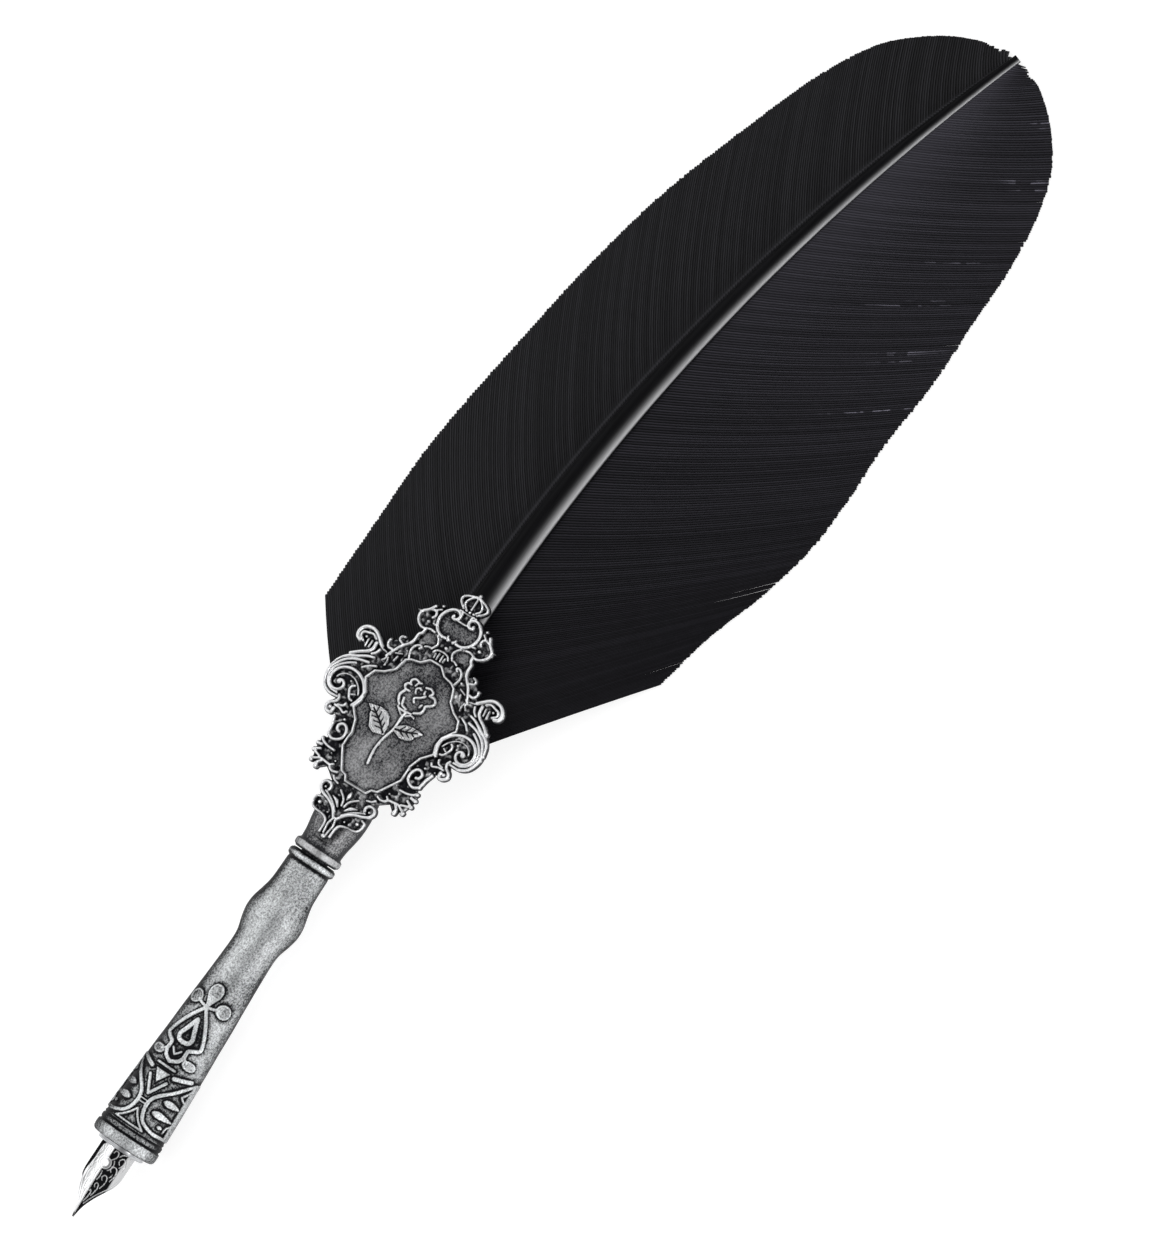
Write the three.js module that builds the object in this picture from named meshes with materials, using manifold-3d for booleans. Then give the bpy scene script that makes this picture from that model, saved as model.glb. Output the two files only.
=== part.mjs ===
// A dip pen with a cast pewter holder, a scrolled crest and a dyed goose feather.
//
// The pen lies on its back with the crest up. Millimetres, +Z up. While it is being built, x runs
// along the pen from the nib's point (x = 0) to the feather's tip, y = 0 is the holder's axis, and
// z = 0 is the table. The last lines move the whole pen so that its box is centred over the origin.
//
// Pieces: a steel nib that pulls out of a ferrule, the ferrule and its petal core in the holder's
// mouth, two castings (barrel, neck socket) that meet between two rings, a crest on the neck's flat,
// and a feather glued into the neck: one shaft, and vanes that have parted into groups of barbs.

import * as THREE from "three";
import { mergeVertices } from "three/addons/utils/BufferGeometryUtils.js";
import Module from "manifold-3d";

const wasm = await Module();
wasm.setup();

// ---- Driving dimensions ----
const PEN_LENGTH = 278; // nib's point to feather's tip
const AXIS_Z = 6.5; // the holder lies on its mouth ring, so the axis is that radius above the table
const ROUND_SIDES = 40; // facets round the holder
const GLUED = 0.1; // radial gap of pieces that are pressed or glued together
const GAP = 0.3; // gap between pieces that lie on each other

const MOUTH_X = 16; // front face of the barrel
const MOUTH_R = 6.5;
const SPLIT_X = 80.9; // where the two castings meet, between the two rings
const RING_R = 4.95;
const STEM_R = 4.4; // the plain stem beside the rings

const FERRULE = { front: 15.2, back: 30, r: 4.9, bore: 3.95, floor: 28.5 };
const CORE = { front: 17.5, back: 28.2, r: 3.15, bore: 2.6, hub: 25.5, slot: 1.1 };
const NIB = { length: 27.5, r: 3.75, thick: 0.3, shoulder: 11, ventX: 11.9, ventR: 0.6, slit: 0.12, dip: 1.8 };
const SPIGOT = { back: 70.5, r: 2.9 };
const SOCKET = { end: 96.4, bore: 3.5, floor: 84 };
const CREST = { back: AXIS_Z + 4.3, plate: 1.7, relief: 1.5, start: 84.6 };
const CREST_SET = { skew: 0.045, turn: -0.003, offset: -0.55 }; // how it sits on the neck

const SHAFT = { start: 85, straightTo: 132, bend: 26.2, drop: 4.9 };
const SHAFT_R = { quill: 2.65, lost: 1.85, from: 140, power: 1.3 };
const VANE = { thick: 0.5, edgeZ: 0.3, rootLift: 0.35, fall: 1.5, bow: 0.25 };

// ---- Materials ----
const pewter = { color: 0x8f8f92, roughness: 0.42, metalness: 0.9 };
const darkPewter = { color: 0x56565a, roughness: 0.5, metalness: 0.85 };
const steel = { color: 0xc9ccd0, roughness: 0.18, metalness: 1 };
const brass = { color: 0xb9a15a, roughness: 0.35, metalness: 1 };
const blackBarbs = { color: 0x101013, roughness: 0.75, metalness: 0 };
const blackQuill = { color: 0x1c1b1d, roughness: 0.25, metalness: 0 };
const glue = { color: 0xb8a878, roughness: 0.3, metalness: 0 };

// ---- Helpers ----
const lerp = (a, b, t) => a + (b - a) * t;

const pen = new THREE.Group();

function addMesh(name, geometry, material) {
  const mesh = new THREE.Mesh(geometry, new THREE.MeshStandardMaterial(material));
  mesh.name = name;
  pen.add(mesh);
}

// A closed geometry as a manifold-3d solid.
function solidOf(geometry) {
  const bare = geometry.clone();
  bare.deleteAttribute("normal");
  bare.deleteAttribute("uv");
  const merged = mergeVertices(bare, 1e-4);
  return new wasm.Manifold(
    new wasm.Mesh({
      numProp: 3,
      vertProperties: merged.attributes.position.array,
      triVerts: new Uint32Array(merged.index.array),
    }),
  );
}

function geometryOf(solid) {
  const made = solid.getMesh();
  const geometry = new THREE.BufferGeometry();
  geometry.setAttribute("position", new THREE.BufferAttribute(made.vertProperties, 3));
  geometry.setIndex(new THREE.BufferAttribute(made.triVerts, 1));
  geometry.computeVertexNormals();
  return geometry;
}

// A body of revolution about the holder's axis. The profile is [x, radius] pairs going round the
// section so that the metal is on the left of the path.
function turned(profile, sides = ROUND_SIDES) {
  const points = profile.map(([x, r]) => new THREE.Vector2(r, x));
  const geometry = new THREE.LatheGeometry(points, sides);
  geometry.rotateZ(-Math.PI / 2); // the lathe's own axis, +Y, becomes +X
  geometry.translate(0, 0, AXIS_Z);
  return geometry;
}

function boxAt(x0, x1, y0, y1, z0, z1) {
  const geometry = new THREE.BoxGeometry(x1 - x0, y1 - y0, z1 - z0);
  geometry.translate((x0 + x1) / 2, (y0 + y1) / 2, (z0 + z1) / 2);
  return geometry;
}

// A closed solid from rows of points: row after row is one skin, each row a closed loop of its own.
function loftLoops(loops) {
  const n = loops[0].length;
  const positions = loops.flat(2);
  const index = [];
  for (let i = 0; i + 1 < loops.length; i++) {
    for (let k = 0; k < n; k++) {
      const a = i * n + k;
      const b = i * n + ((k + 1) % n);
      index.push(a, b, b + n, a, b + n, a + n);
    }
  }
  const last = (loops.length - 1) * n;
  for (let k = 1; k + 1 < n; k++) {
    index.push(0, k + 1, k);
    index.push(last, last + k, last + k + 1);
  }
  const geometry = new THREE.BufferGeometry();
  geometry.setAttribute("position", new THREE.Float32BufferAttribute(positions, 3));
  geometry.setIndex(index);
  geometry.computeVertexNormals();
  return geometry;
}

// ---- Holder ----
function barrel() {
  const bulb = [];
  for (let i = 0; i <= 8; i++) {
    const t = i / 8;
    const swell = Math.sin(Math.PI * t) ** 2;
    bulb.push([lerp(61, 74, t), STEM_R + 0.05 + 1.3 * swell]);
  }
  return turned([
    [MOUTH_X, FERRULE.r + GLUED],
    [MOUTH_X, 5.9],
    [MOUTH_X + 0.9, MOUTH_R],
    [18.3, MOUTH_R - 0.05],
    [18.5, 6.1],
    [20, 6.05],
    [20.2, 6.35],
    [26, 6.15],
    [35, 5.7],
    [45, 5.05],
    [53, 4.65],
    ...bulb,
    [78.9, STEM_R],
    [79.2, RING_R - 0.15],
    [79.5, RING_R],
    [80.2, RING_R],
    [80.5, RING_R - 0.15],
    [SPLIT_X - 0.15, STEM_R],
    [SPLIT_X - 0.15, SPIGOT.r + GLUED],
    [SPIGOT.back - GAP, SPIGOT.r + GLUED],
    [SPIGOT.back - GAP, 0],
    [FERRULE.back + GAP, 0],
    [FERRULE.back + GAP, FERRULE.r + GLUED],
    [MOUTH_X, FERRULE.r + GLUED],
  ]);
}

// The neck has a spigot for the barrel at one end and takes the feather in the other. Its top is cut
// flat to seat the crest.
function neckSocket() {
  const round = turned([
    [SPIGOT.back, 0],
    [SPIGOT.back, SPIGOT.r],
    [SPLIT_X + 0.15, SPIGOT.r],
    [SPLIT_X + 0.15, STEM_R],
    [81.4, RING_R - 0.15],
    [81.7, RING_R],
    [82.4, RING_R],
    [82.7, RING_R - 0.15],
    [83, STEM_R],
    [SOCKET.end - 0.6, STEM_R],
    [SOCKET.end, STEM_R - 0.5],
    [SOCKET.end, SOCKET.bore],
    [SOCKET.floor, SOCKET.bore],
    [SOCKET.floor, 0],
    [SPIGOT.back, 0],
  ]);
  const flat = boxAt(CREST.start - GAP, 100, -8, 8, CREST.back - GAP, CREST.back + 4);
  return geometryOf(solidOf(round).subtract(solidOf(flat)));
}

function ferruleCup() {
  const { front, back, r, bore, floor } = FERRULE;
  return turned([
    [front, bore],
    [front, r - 0.3],
    [front + 0.3, r],
    [back, r],
    [back, 0],
    [floor, 0],
    [floor, bore],
    [front, bore],
  ]);
}

// Four sprung petals on a hub: the nib's shank slides between them and the ferrule's wall.
function petalCore() {
  const { front, back, r, bore, hub, slot } = CORE;
  const tube = turned([
    [front, bore],
    [front, r - 0.2],
    [front + 0.5, r],
    [back, r],
    [back, 0],
    [hub, 0],
    [hub, bore],
    [front, bore],
  ]);
  const acrossY = boxAt(front - 1, hub - 1, -r - 1, r + 1, AXIS_Z - slot / 2, AXIS_Z + slot / 2);
  const acrossZ = boxAt(front - 1, hub - 1, -slot / 2, slot / 2, AXIS_Z - r - 1, AXIS_Z + r + 1);
  return geometryOf(solidOf(tube).subtract(solidOf(acrossY)).subtract(solidOf(acrossZ)));
}

// Half the angle that the nib's sheet wraps round the axis, at a distance x from its point.
function nibHalfAngle(x) {
  const shank = 1.42;
  if (x >= NIB.shoulder) return shank;
  const t = x / NIB.shoulder;
  return 0.03 + (shank - 0.03) * (0.72 * t + 0.28 * t ** 4);
}

// The sheet is bent to a half-round shank and runs down a little to its point. The slit runs from the
// vent to the point and parts the two tines.
function nib() {
  const steps = [0, 1.5, 3.5, 5.5, 7.5, 9, 10, 10.8, 11.4, 13, 16, 20, 24, NIB.length];
  const across = 12;
  const loops = steps.map((x) => {
    const half = nibHalfAngle(x);
    const dip = NIB.dip * Math.max(0, 1 - x / NIB.shoulder) ** 1.6;
    const ring = (r) => (k) => {
      const a = lerp(-half, half, k / across);
      return [x, r * Math.sin(a), AXIS_Z - dip + r * Math.cos(a)];
    };
    const outer = Array.from({ length: across + 1 }, (_, k) => ring(NIB.r)(k));
    const inner = Array.from({ length: across + 1 }, (_, k) => ring(NIB.r - NIB.thick)(across - k));
    return [...outer, ...inner];
  });
  const vent = new THREE.CylinderGeometry(NIB.ventR, NIB.ventR, 4, 20);
  vent.rotateX(Math.PI / 2);
  vent.translate(NIB.ventX, 0, AXIS_Z + NIB.r);
  const slit = boxAt(-1, NIB.ventX, -NIB.slit / 2, NIB.slit / 2, AXIS_Z, AXIS_Z + 8);
  return geometryOf(solidOf(flipped(loftCapped(loops))).subtract(solidOf(vent)).subtract(solidOf(slit)));
}

// Loops that are long and bent need caps made of the strips between their two sides.
function loftCapped(loops) {
  const geometry = loftLoops(loops);
  const n = loops[0].length;
  const index = [];
  for (let i = 0; i + 1 < loops.length; i++) {
    for (let k = 0; k < n; k++) {
      const a = i * n + k;
      const b = i * n + ((k + 1) % n);
      index.push(a, b, b + n, a, b + n, a + n);
    }
  }
  const last = (loops.length - 1) * n;
  for (let k = 0; k + 1 < n / 2; k++) {
    const [p, q, r, s] = [k, k + 1, n - 2 - k, n - 1 - k];
    index.push(p, r, q, p, s, r);
    index.push(last + p, last + q, last + r, last + p, last + r, last + s);
  }
  geometry.setIndex(index);
  return geometry;
}

function flipped(geometry) {
  const index = Array.from(geometry.index.array);
  for (let i = 0; i < index.length; i += 3) [index[i + 1], index[i + 2]] = [index[i + 2], index[i + 1]];
  geometry.setIndex(index);
  return geometry;
}

// ---- Crest ----
// Half of the crest's outline, from the palmette's tip on the holder to the crown's top: [distance
// along the pen, distance out from the crest's own middle line].
const CREST_HALF = [
  [84.6, 0.3], [85.4, 1], [87.8, 1.4], [88.7, 2.6], [89, 4.5], [90.4, 5.4], [92, 5.3], [93.8, 5.9],
  [95, 4.9], [96.6, 7.1], [95.5, 8.4], [97, 10.5], [98.4, 11], [100.9, 11.1], [101.7, 10.3],
  [105.8, 11.4], [105.8, 12.7], [106.8, 13.7], [108.2, 13.4], [108.9, 12.9], [109.4, 15],
  [110.5, 16.7], [112.2, 17.3], [114.1, 17.2], [115.9, 16.3], [117.8, 14.4], [119.2, 13.4],
  [120.2, 14.5], [121.2, 16], [122.4, 16], [123.6, 14.6], [123.7, 13], [122.9, 11.6], [122.1, 10.5],
  [123.6, 9.6], [124.8, 8.1], [125.2, 7.1], [124.5, 6.2], [127.6, 5.3], [128.4, 5], [128.5, 6.4],
  [129.4, 7.4], [131, 8.4], [132.2, 6.7], [133.6, 4.8], [134.3, 3.5], [134.3, 2], [135.8, 2.3],
  [137.1, 2.7], [138.1, 1.8], [139.3, 0.3],
];

// Half of the sunk field inside the frame, from the holder's end to the crown's.
const FIELD_HALF = [
  [96.3, 2.3], [97.3, 2.9], [97.6, 4], [100, 5.5], [101.8, 6.6], [104.8, 6.5], [107.1, 7.3],
  [109, 9], [110.8, 8.4], [112.5, 8.6], [114.9, 10.2], [116.8, 9.4], [117.6, 7.8], [119, 6.2],
  [121.5, 5.4], [122.1, 4.5], [122.5, 2.7], [123.8, 1.3],
];

// The casting sits a little crooked on the neck, and its two sides are not quite level.
function crestPoint([along, out]) {
  const { skew, turn, offset } = CREST_SET;
  return new THREE.Vector2(along - skew * out, out + offset + turn * (along - CREST.start));
}

function bothHalves(half) {
  const mirrored = half.map(([x, y]) => [x, -y]).reverse();
  return new THREE.Shape([...mirrored, ...half].map(crestPoint));
}

function slab(shape, z0, z1) {
  const geometry = new THREE.ExtrudeGeometry(shape, { depth: z1 - z0, bevelEnabled: false });
  geometry.translate(0, 0, z0);
  return geometry;
}

// The rose on the field: a stem, two leaves and a lobed flower.
function roseParts(z0, z1) {
  const stem = [[101, 0.7], [107, 0.6], [113.7, -0.2], [113.7, 0.3], [107, 1.2], [101, 1.2]];
  const leaf1 = [[107.3, 1], [106.9, 3.6], [108, 5.4], [111, 6.7], [111.4, 4], [110.6, 2.4]];
  const leaf2 = [[109.2, 0.2], [108.4, -1.6], [109, -3.4], [111.1, -4.9], [111.5, -2.4], [110.6, -0.8]];
  const flower = Array.from({ length: 30 }, (_, i) => {
    const a = (2 * Math.PI * i) / 30;
    const r = 2.75 + 0.3 * Math.cos(5 * a);
    return [116.6 + r * Math.cos(a), r * Math.sin(a)];
  });
  return [stem, leaf1, leaf2, flower].map((s) => slab(new THREE.Shape(s.map(crestPoint)), z0, z1));
}

function crest() {
  const plateTop = CREST.back + CREST.plate;
  const outline = bothHalves(CREST_HALF);
  const body = solidOf(slab(outline, CREST.back, plateTop + CREST.relief * 0.6));
  const field = solidOf(slab(bothHalves(FIELD_HALF), plateTop, plateTop + 5));
  let made = body.subtract(field);
  for (const piece of roseParts(plateTop - 0.3, plateTop + 0.5)) made = made.add(solidOf(piece));
  for (const side of [-1, 1]) {
    const middle = crestPoint([112.4, side * 13.2]);
    const scroll = new THREE.CylinderGeometry(2.9, 3.5, CREST.relief, 24);
    scroll.rotateX(Math.PI / 2);
    scroll.translate(middle.x, middle.y, plateTop + CREST.relief / 2);
    made = made.add(solidOf(scroll));
  }
  return geometryOf(made);
}

// ---- Feather ----
function shaftShare(x) {
  return Math.max(0, (x - SHAFT.straightTo) / (PEN_LENGTH - SHAFT.straightTo));
}

// The shaft's centre line: straight out of the socket, then bending to -Y and down to the table.
function shaftPoint(x) {
  const t = shaftShare(x);
  return [x, -SHAFT.bend * t ** 2, AXIS_Z - SHAFT.drop * t ** 2];
}

function shaftRadius(x) {
  const t = Math.max(0, (x - SHAFT_R.from) / (PEN_LENGTH - SHAFT_R.from));
  return SHAFT_R.quill - SHAFT_R.lost * t ** SHAFT_R.power;
}

function featherShaft() {
  const sides = 14;
  const loops = [];
  const steps = 26;
  for (let i = 0; i <= steps; i++) {
    const x = lerp(SHAFT.start, PEN_LENGTH - 0.4, i / steps);
    const [cx, cy, cz] = shaftPoint(x);
    const [, y2] = shaftPoint(x + 0.5);
    const turn = Math.atan2(y2 - cy, 0.5);
    const r = shaftRadius(x) * (i === 0 ? 0.85 : 1);
    const loop = [];
    for (let k = 0; k < sides; k++) {
      const a = (2 * Math.PI * k) / sides;
      const out = r * Math.cos(a);
      loop.push([cx - out * Math.sin(turn), cy + out * Math.cos(turn), cz + 0.92 * r * Math.sin(a)]);
    }
    loops.push(loop);
  }
  const hollow = turned([[SHAFT.start - 1, 0], [SHAFT.start - 1, 1.7], [104, 1.7], [106, 0]], 14);
  return geometryOf(solidOf(loftLoops(loops)).subtract(solidOf(hollow)));
}

// Hardened glue between the quill and the socket's bore, with a bead round the mouth.
function glueBead() {
  const inner = SHAFT_R.quill + GLUED;
  return turned([
    [SHAFT.start + 1, inner],
    [SHAFT.start + 1, SOCKET.bore - GLUED],
    [SOCKET.end + GLUED, SOCKET.bore - GLUED],
    [SOCKET.end + GLUED, SOCKET.bore + 0.2],
    [SOCKET.end + 0.5, SOCKET.bore],
    [SOCKET.end + 0.8, inner],
    [SHAFT.start + 1, inner],
  ], 28);
}

// A barb leaves the shaft at root x and ends at [x, y] on the vane's edge. Both tables start at the
// trimmed base of the vane and end at the feather's tip.
const LEFT_BARBS = [
  [98.4, 123, 28.2], [114, 140, 28], [131, 158, 27.5], [150, 180.4, 24.6], [170, 202, 21.2],
  [190, 221, 16.9], [210, 240, 10.5], [228, 255, 4.2], [244, 266, -3], [258, 273, -10.6],
  [268, 276.4, -17], [276, 277.9, -22.6],
];
const RIGHT_BARBS = [
  [98.4, 144, -35.5], [112, 156, -38.2], [128, 168, -42.2], [145, 180, -45], [160, 192, -45.8],
  [176, 205, -45.8], [192, 219, -47], [208, 232, -46.9], [223, 244, -47], [237, 255, -45.9],
  [249, 264, -43.2], [259, 270.4, -38.8], [267, 274.8, -33.4], [273, 277, -29.2],
];

function barbCurves(table) {
  const points = table.map(([root, x, y]) => new THREE.Vector3(root, x, y));
  return new THREE.CatmullRomCurve3(points, false, "centripetal");
}

// A point of a vane's middle surface. along runs 0 to 1 from base to tip, out 0 to 1 from the shaft.
function vanePoint(curve, side, along, out) {
  const p = curve.getPoint(along);
  const [, cy, cz] = shaftPoint(p.x);
  const rootY = cy + side * (shaftRadius(p.x) + GAP);
  const rootZ = cz + VANE.rootLift;
  const bow = VANE.bow * (side > 0 ? 1 : Math.min(1, 5 * along));
  const x = p.x + (p.y - p.x) * ((1 - bow) * out + bow * out ** 2);
  const camber = (side > 0 ? 0.7 : 1.1) * Math.sin(Math.PI * out) * Math.max(0, 1 - along) ** 0.5;
  return [x, lerp(rootY, p.z, out), lerp(rootZ, VANE.edgeZ, out ** VANE.fall) + camber];
}

// One group of barbs, as a thin sheet between two places along the vane.
function vanePanel(curve, side, from, to, rows, columns) {
  const loops = [];
  for (let i = 0; i <= rows; i++) {
    const along = lerp(from, to, i / rows);
    const skin = (lift) =>
      Array.from({ length: columns + 1 }, (_, k) => {
        const [x, y, z] = vanePoint(curve, side, along, k / columns);
        return [x, y, z + lift];
      });
    const half = (side * VANE.thick) / 2;
    loops.push([...skin(-half), ...skin(half).reverse()]);
  }
  return loftCapped(loops);
}

// Where each vane has parted, as shares of its length. A panel stops short of the next.
const LEFT_SPLITS = [0, 0.187, 0.272, 0.56, 1];
const RIGHT_SPLITS = [0, 0.168, 0.48, 0.72, 1];
const SPLIT_GAP = 0.0035;

function addVane(name, table, side, splits) {
  const curve = barbCurves(table);
  for (let i = 0; i + 1 < splits.length; i++) {
    const from = splits[i] + (i > 0 ? SPLIT_GAP : 0);
    const to = splits[i + 1];
    const rows = Math.max(4, Math.round((to - from) * 26));
    addMesh(`${name}_${i + 1}`, vanePanel(curve, side, from, to, rows, 8), blackBarbs);
  }
}

// ---- Assembly ----
addMesh("nib", nib(), steel);
addMesh("ferrule_cup", ferruleCup(), steel);
addMesh("petal_core", petalCore(), brass);
addMesh("barrel", barrel(), pewter);
addMesh("neck_socket", neckSocket(), darkPewter);
addMesh("crest", crest(), darkPewter);
addMesh("glue_bead", glueBead(), glue);
addMesh("feather_shaft", featherShaft(), blackQuill);
addVane("left_vane", LEFT_BARBS, 1, LEFT_SPLITS);
addVane("right_vane", RIGHT_BARBS, -1, RIGHT_SPLITS);

// The origin is the middle of the pen's box, on the table.
const box = new THREE.Box3().setFromObject(pen);
pen.position.set(-(box.min.x + box.max.x) / 2, -(box.min.y + box.max.y) / 2, -box.min.z);

const quillPen = new THREE.Group();
quillPen.add(pen);
export default quillPen;
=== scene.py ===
import math

import bpy
import numpy as np
from mathutils import Matrix, Vector


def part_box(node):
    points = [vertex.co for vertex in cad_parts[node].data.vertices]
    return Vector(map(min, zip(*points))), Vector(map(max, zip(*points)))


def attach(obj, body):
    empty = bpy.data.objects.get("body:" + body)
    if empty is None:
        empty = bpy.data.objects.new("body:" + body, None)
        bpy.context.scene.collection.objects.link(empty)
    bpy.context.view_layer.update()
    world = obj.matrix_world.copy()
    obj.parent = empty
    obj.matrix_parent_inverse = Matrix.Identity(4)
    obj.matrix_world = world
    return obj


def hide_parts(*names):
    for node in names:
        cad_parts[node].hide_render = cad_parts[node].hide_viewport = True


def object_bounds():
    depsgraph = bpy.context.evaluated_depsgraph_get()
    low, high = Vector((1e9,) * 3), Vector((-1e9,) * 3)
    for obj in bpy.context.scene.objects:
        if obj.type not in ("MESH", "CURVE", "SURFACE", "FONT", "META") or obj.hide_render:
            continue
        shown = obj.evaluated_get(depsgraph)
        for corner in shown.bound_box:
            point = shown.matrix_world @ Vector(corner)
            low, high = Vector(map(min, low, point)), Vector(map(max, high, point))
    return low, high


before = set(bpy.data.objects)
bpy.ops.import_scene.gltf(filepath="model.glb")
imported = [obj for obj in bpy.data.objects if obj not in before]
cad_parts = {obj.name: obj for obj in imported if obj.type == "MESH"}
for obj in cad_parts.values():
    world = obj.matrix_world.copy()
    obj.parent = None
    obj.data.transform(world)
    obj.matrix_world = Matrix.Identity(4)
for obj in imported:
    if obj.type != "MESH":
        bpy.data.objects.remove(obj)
CAD_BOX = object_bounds()

# The looks of a dip pen: a cast pewter holder with a steel nib, a scrolled crest and a black feather.
# Shapes are worked out in the pen's own millimetres: x runs from the nib's point to the feather's
# tip, y = 0 is the holder's axis, z = 0 is the table. to_row() takes them to the row's frame.

# ---- The pen's own frame ----
MM = 0.001
AXIS_Z = 6.5
nib_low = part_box("nib")[0]
barrel_low, barrel_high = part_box("barrel")
AXIS = (barrel_low + barrel_high) / 2
ORIGIN = np.array([nib_low.x, AXIS.y, AXIS.z - AXIS_Z * MM])
FAR = 1e3  # beyond anything on the pen


def to_row(points):
    return ORIGIN + MM * np.asarray(points, float)


def show(name, data):
    """A new object in the scene."""
    made = bpy.data.objects.new(name, data)
    bpy.context.scene.collection.objects.link(made)
    return made


# ---- Meshes ----
def outward(points, face_sets):
    """The same faces, all turned over if they face inwards."""
    volume = 0.0
    for faces in face_sets:
        for k in range(1, faces.shape[1] - 1):
            a, b, c = (points[faces[:, i]] for i in (0, k, k + 1))
            volume += np.einsum("ij,ij->", a, np.cross(b, c))
    return face_sets if volume > 0 else [faces[:, ::-1] for faces in face_sets]


def add_piece(name, points, face_sets, material, replaced, body="holder", marks=None, sharp=38):
    """A closed mesh from points in millimetres and one array of faces for each number of corners."""
    points = np.asarray(points, float)
    face_sets = outward(points - points.mean(axis=0), [f for f in face_sets if len(f)])
    mesh = bpy.data.meshes.new(name)
    mesh.from_pydata(to_row(points), [], [face for faces in face_sets for face in faces.tolist()])
    mesh.validate()
    mesh.shade_smooth()
    mesh.set_sharp_from_angle(angle=math.radians(sharp))
    for mark, values in (marks or {}).items():
        layer = mesh.attributes.new(mark, "FLOAT", "POINT")
        layer.data.foreach_set("value", np.asarray(values, np.float32).ravel())
    mesh.materials.append(material)
    piece = show(name, mesh)
    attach(piece, body)
    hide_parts(replaced)


def ring_faces(rows, columns):
    """Quads of a grid of points whose rows are closed rings."""
    i, k = np.meshgrid(np.arange(rows - 1), np.arange(columns), indexing="ij")
    a = (i * columns + k).ravel()
    b = (i * columns + (k + 1) % columns).ravel()
    return np.stack([a, b, b + columns, a + columns], axis=1)


def turned(xs, radii):
    """Points and faces of a body about the holder's axis, closed by a pole at each end.

    radii holds one row for each x, with the radius at each column, counted round from +Z.
    """
    rows, columns = radii.shape
    angle = 2 * np.pi * np.arange(columns) / columns
    x = np.repeat(xs[:, None], columns, axis=1)
    rings = np.stack([x, radii * np.sin(angle), AXIS_Z + radii * np.cos(angle)], axis=2).reshape(-1, 3)
    poles = [[xs[0], 0, AXIS_Z], [xs[-1], 0, AXIS_Z]]
    k = np.arange(columns)
    after = (k + 1) % columns
    last = (rows - 1) * columns
    pole = np.full(columns, rows * columns)
    caps = [np.stack([pole, after, k], axis=1), np.stack([pole + 1, last + k, last + after], axis=1)]
    return np.vstack([rings, poles]), [ring_faces(rows, columns), np.vstack(caps)]


# ---- Curves ----
def smooth_line(points, step=0.25, closed=False):
    """Points about a step apart on a smooth curve through the given ones."""
    p = np.asarray(points, float)
    if closed:
        p = np.vstack([p[-1:], p, p[:2]])
    else:
        p = np.vstack([2 * p[0] - p[1], p, 2 * p[-1] - p[-2]])
    made = []
    for a, b, c, d in zip(p, p[1:], p[2:], p[3:]):
        count = max(2, math.ceil(np.linalg.norm(c - b) / step))
        t = np.linspace(0, 1, count, endpoint=False)[:, None]
        bend = (2 * a - 5 * b + 4 * c - d) * t**2 + (3 * b - a - 3 * c + d) * t**3
        made.append(0.5 * (2 * b + (c - a) * t + bend))
    return np.vstack(made + [p[-2:-1]])


def spiral(centre, radii, degrees, count=40):
    """Points of a logarithmic spiral round a centre."""
    t = np.linspace(0, 1, count)
    radius = radii[0] * (radii[1] / radii[0]) ** t
    angle = np.radians(degrees[0] + (degrees[1] - degrees[0]) * t)
    return np.stack([centre[0] + radius * np.cos(angle), centre[1] + radius * np.sin(angle)], axis=1)


def ease(share):
    """A soft step from 0 to 1 as share does the same."""
    share = np.clip(share, 0, 1)
    return share * share * (3 - 2 * share)


def bell(x, centre, width):
    """A soft bump, 1 at its centre."""
    return np.exp(-(((x - centre) / width) ** 2))


def both_sides(half):
    """A closed outline from its +v half."""
    return [*half, *[(u, -v) for u, v in reversed(half)]]


def ellipse(centre, radii, count=24):
    angle = 2 * np.pi * np.arange(count) / count
    return np.stack([centre[0] + radii[0] * np.cos(angle), centre[1] + radii[1] * np.sin(angle)], axis=1)


def depth_in(outline, u, v):
    """How deep (u, v) lies inside a closed outline, negative outside it."""
    p = np.asarray(outline, float)
    nearest = np.full(np.broadcast(u, v).shape, FAR)
    inside = np.zeros(nearest.shape, bool)
    for (au, av), (bu, bv) in zip(p, np.roll(p, -1, axis=0)):
        du, dv = bu - au, bv - av
        t = np.clip(((u - au) * du + (v - av) * dv) / max(du * du + dv * dv, 1e-12), 0, 1)
        nearest = np.minimum(nearest, np.hypot(u - au - t * du, v - av - t * dv))
        if av != bv:
            inside ^= ((av > v) != (bv > v)) & (u < au + (v - av) * du / dv)
    return np.where(inside, nearest, -nearest)


# ---- Height maps ----
def rounded(share, _width):
    """A half-round ridge; share runs from 0 at its foot to 1 on its line."""
    return (1 - (1 - share) ** 2) ** 0.6


def flat_topped(share, width, bevel=0.12):
    return ease(share * width / bevel)


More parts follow.
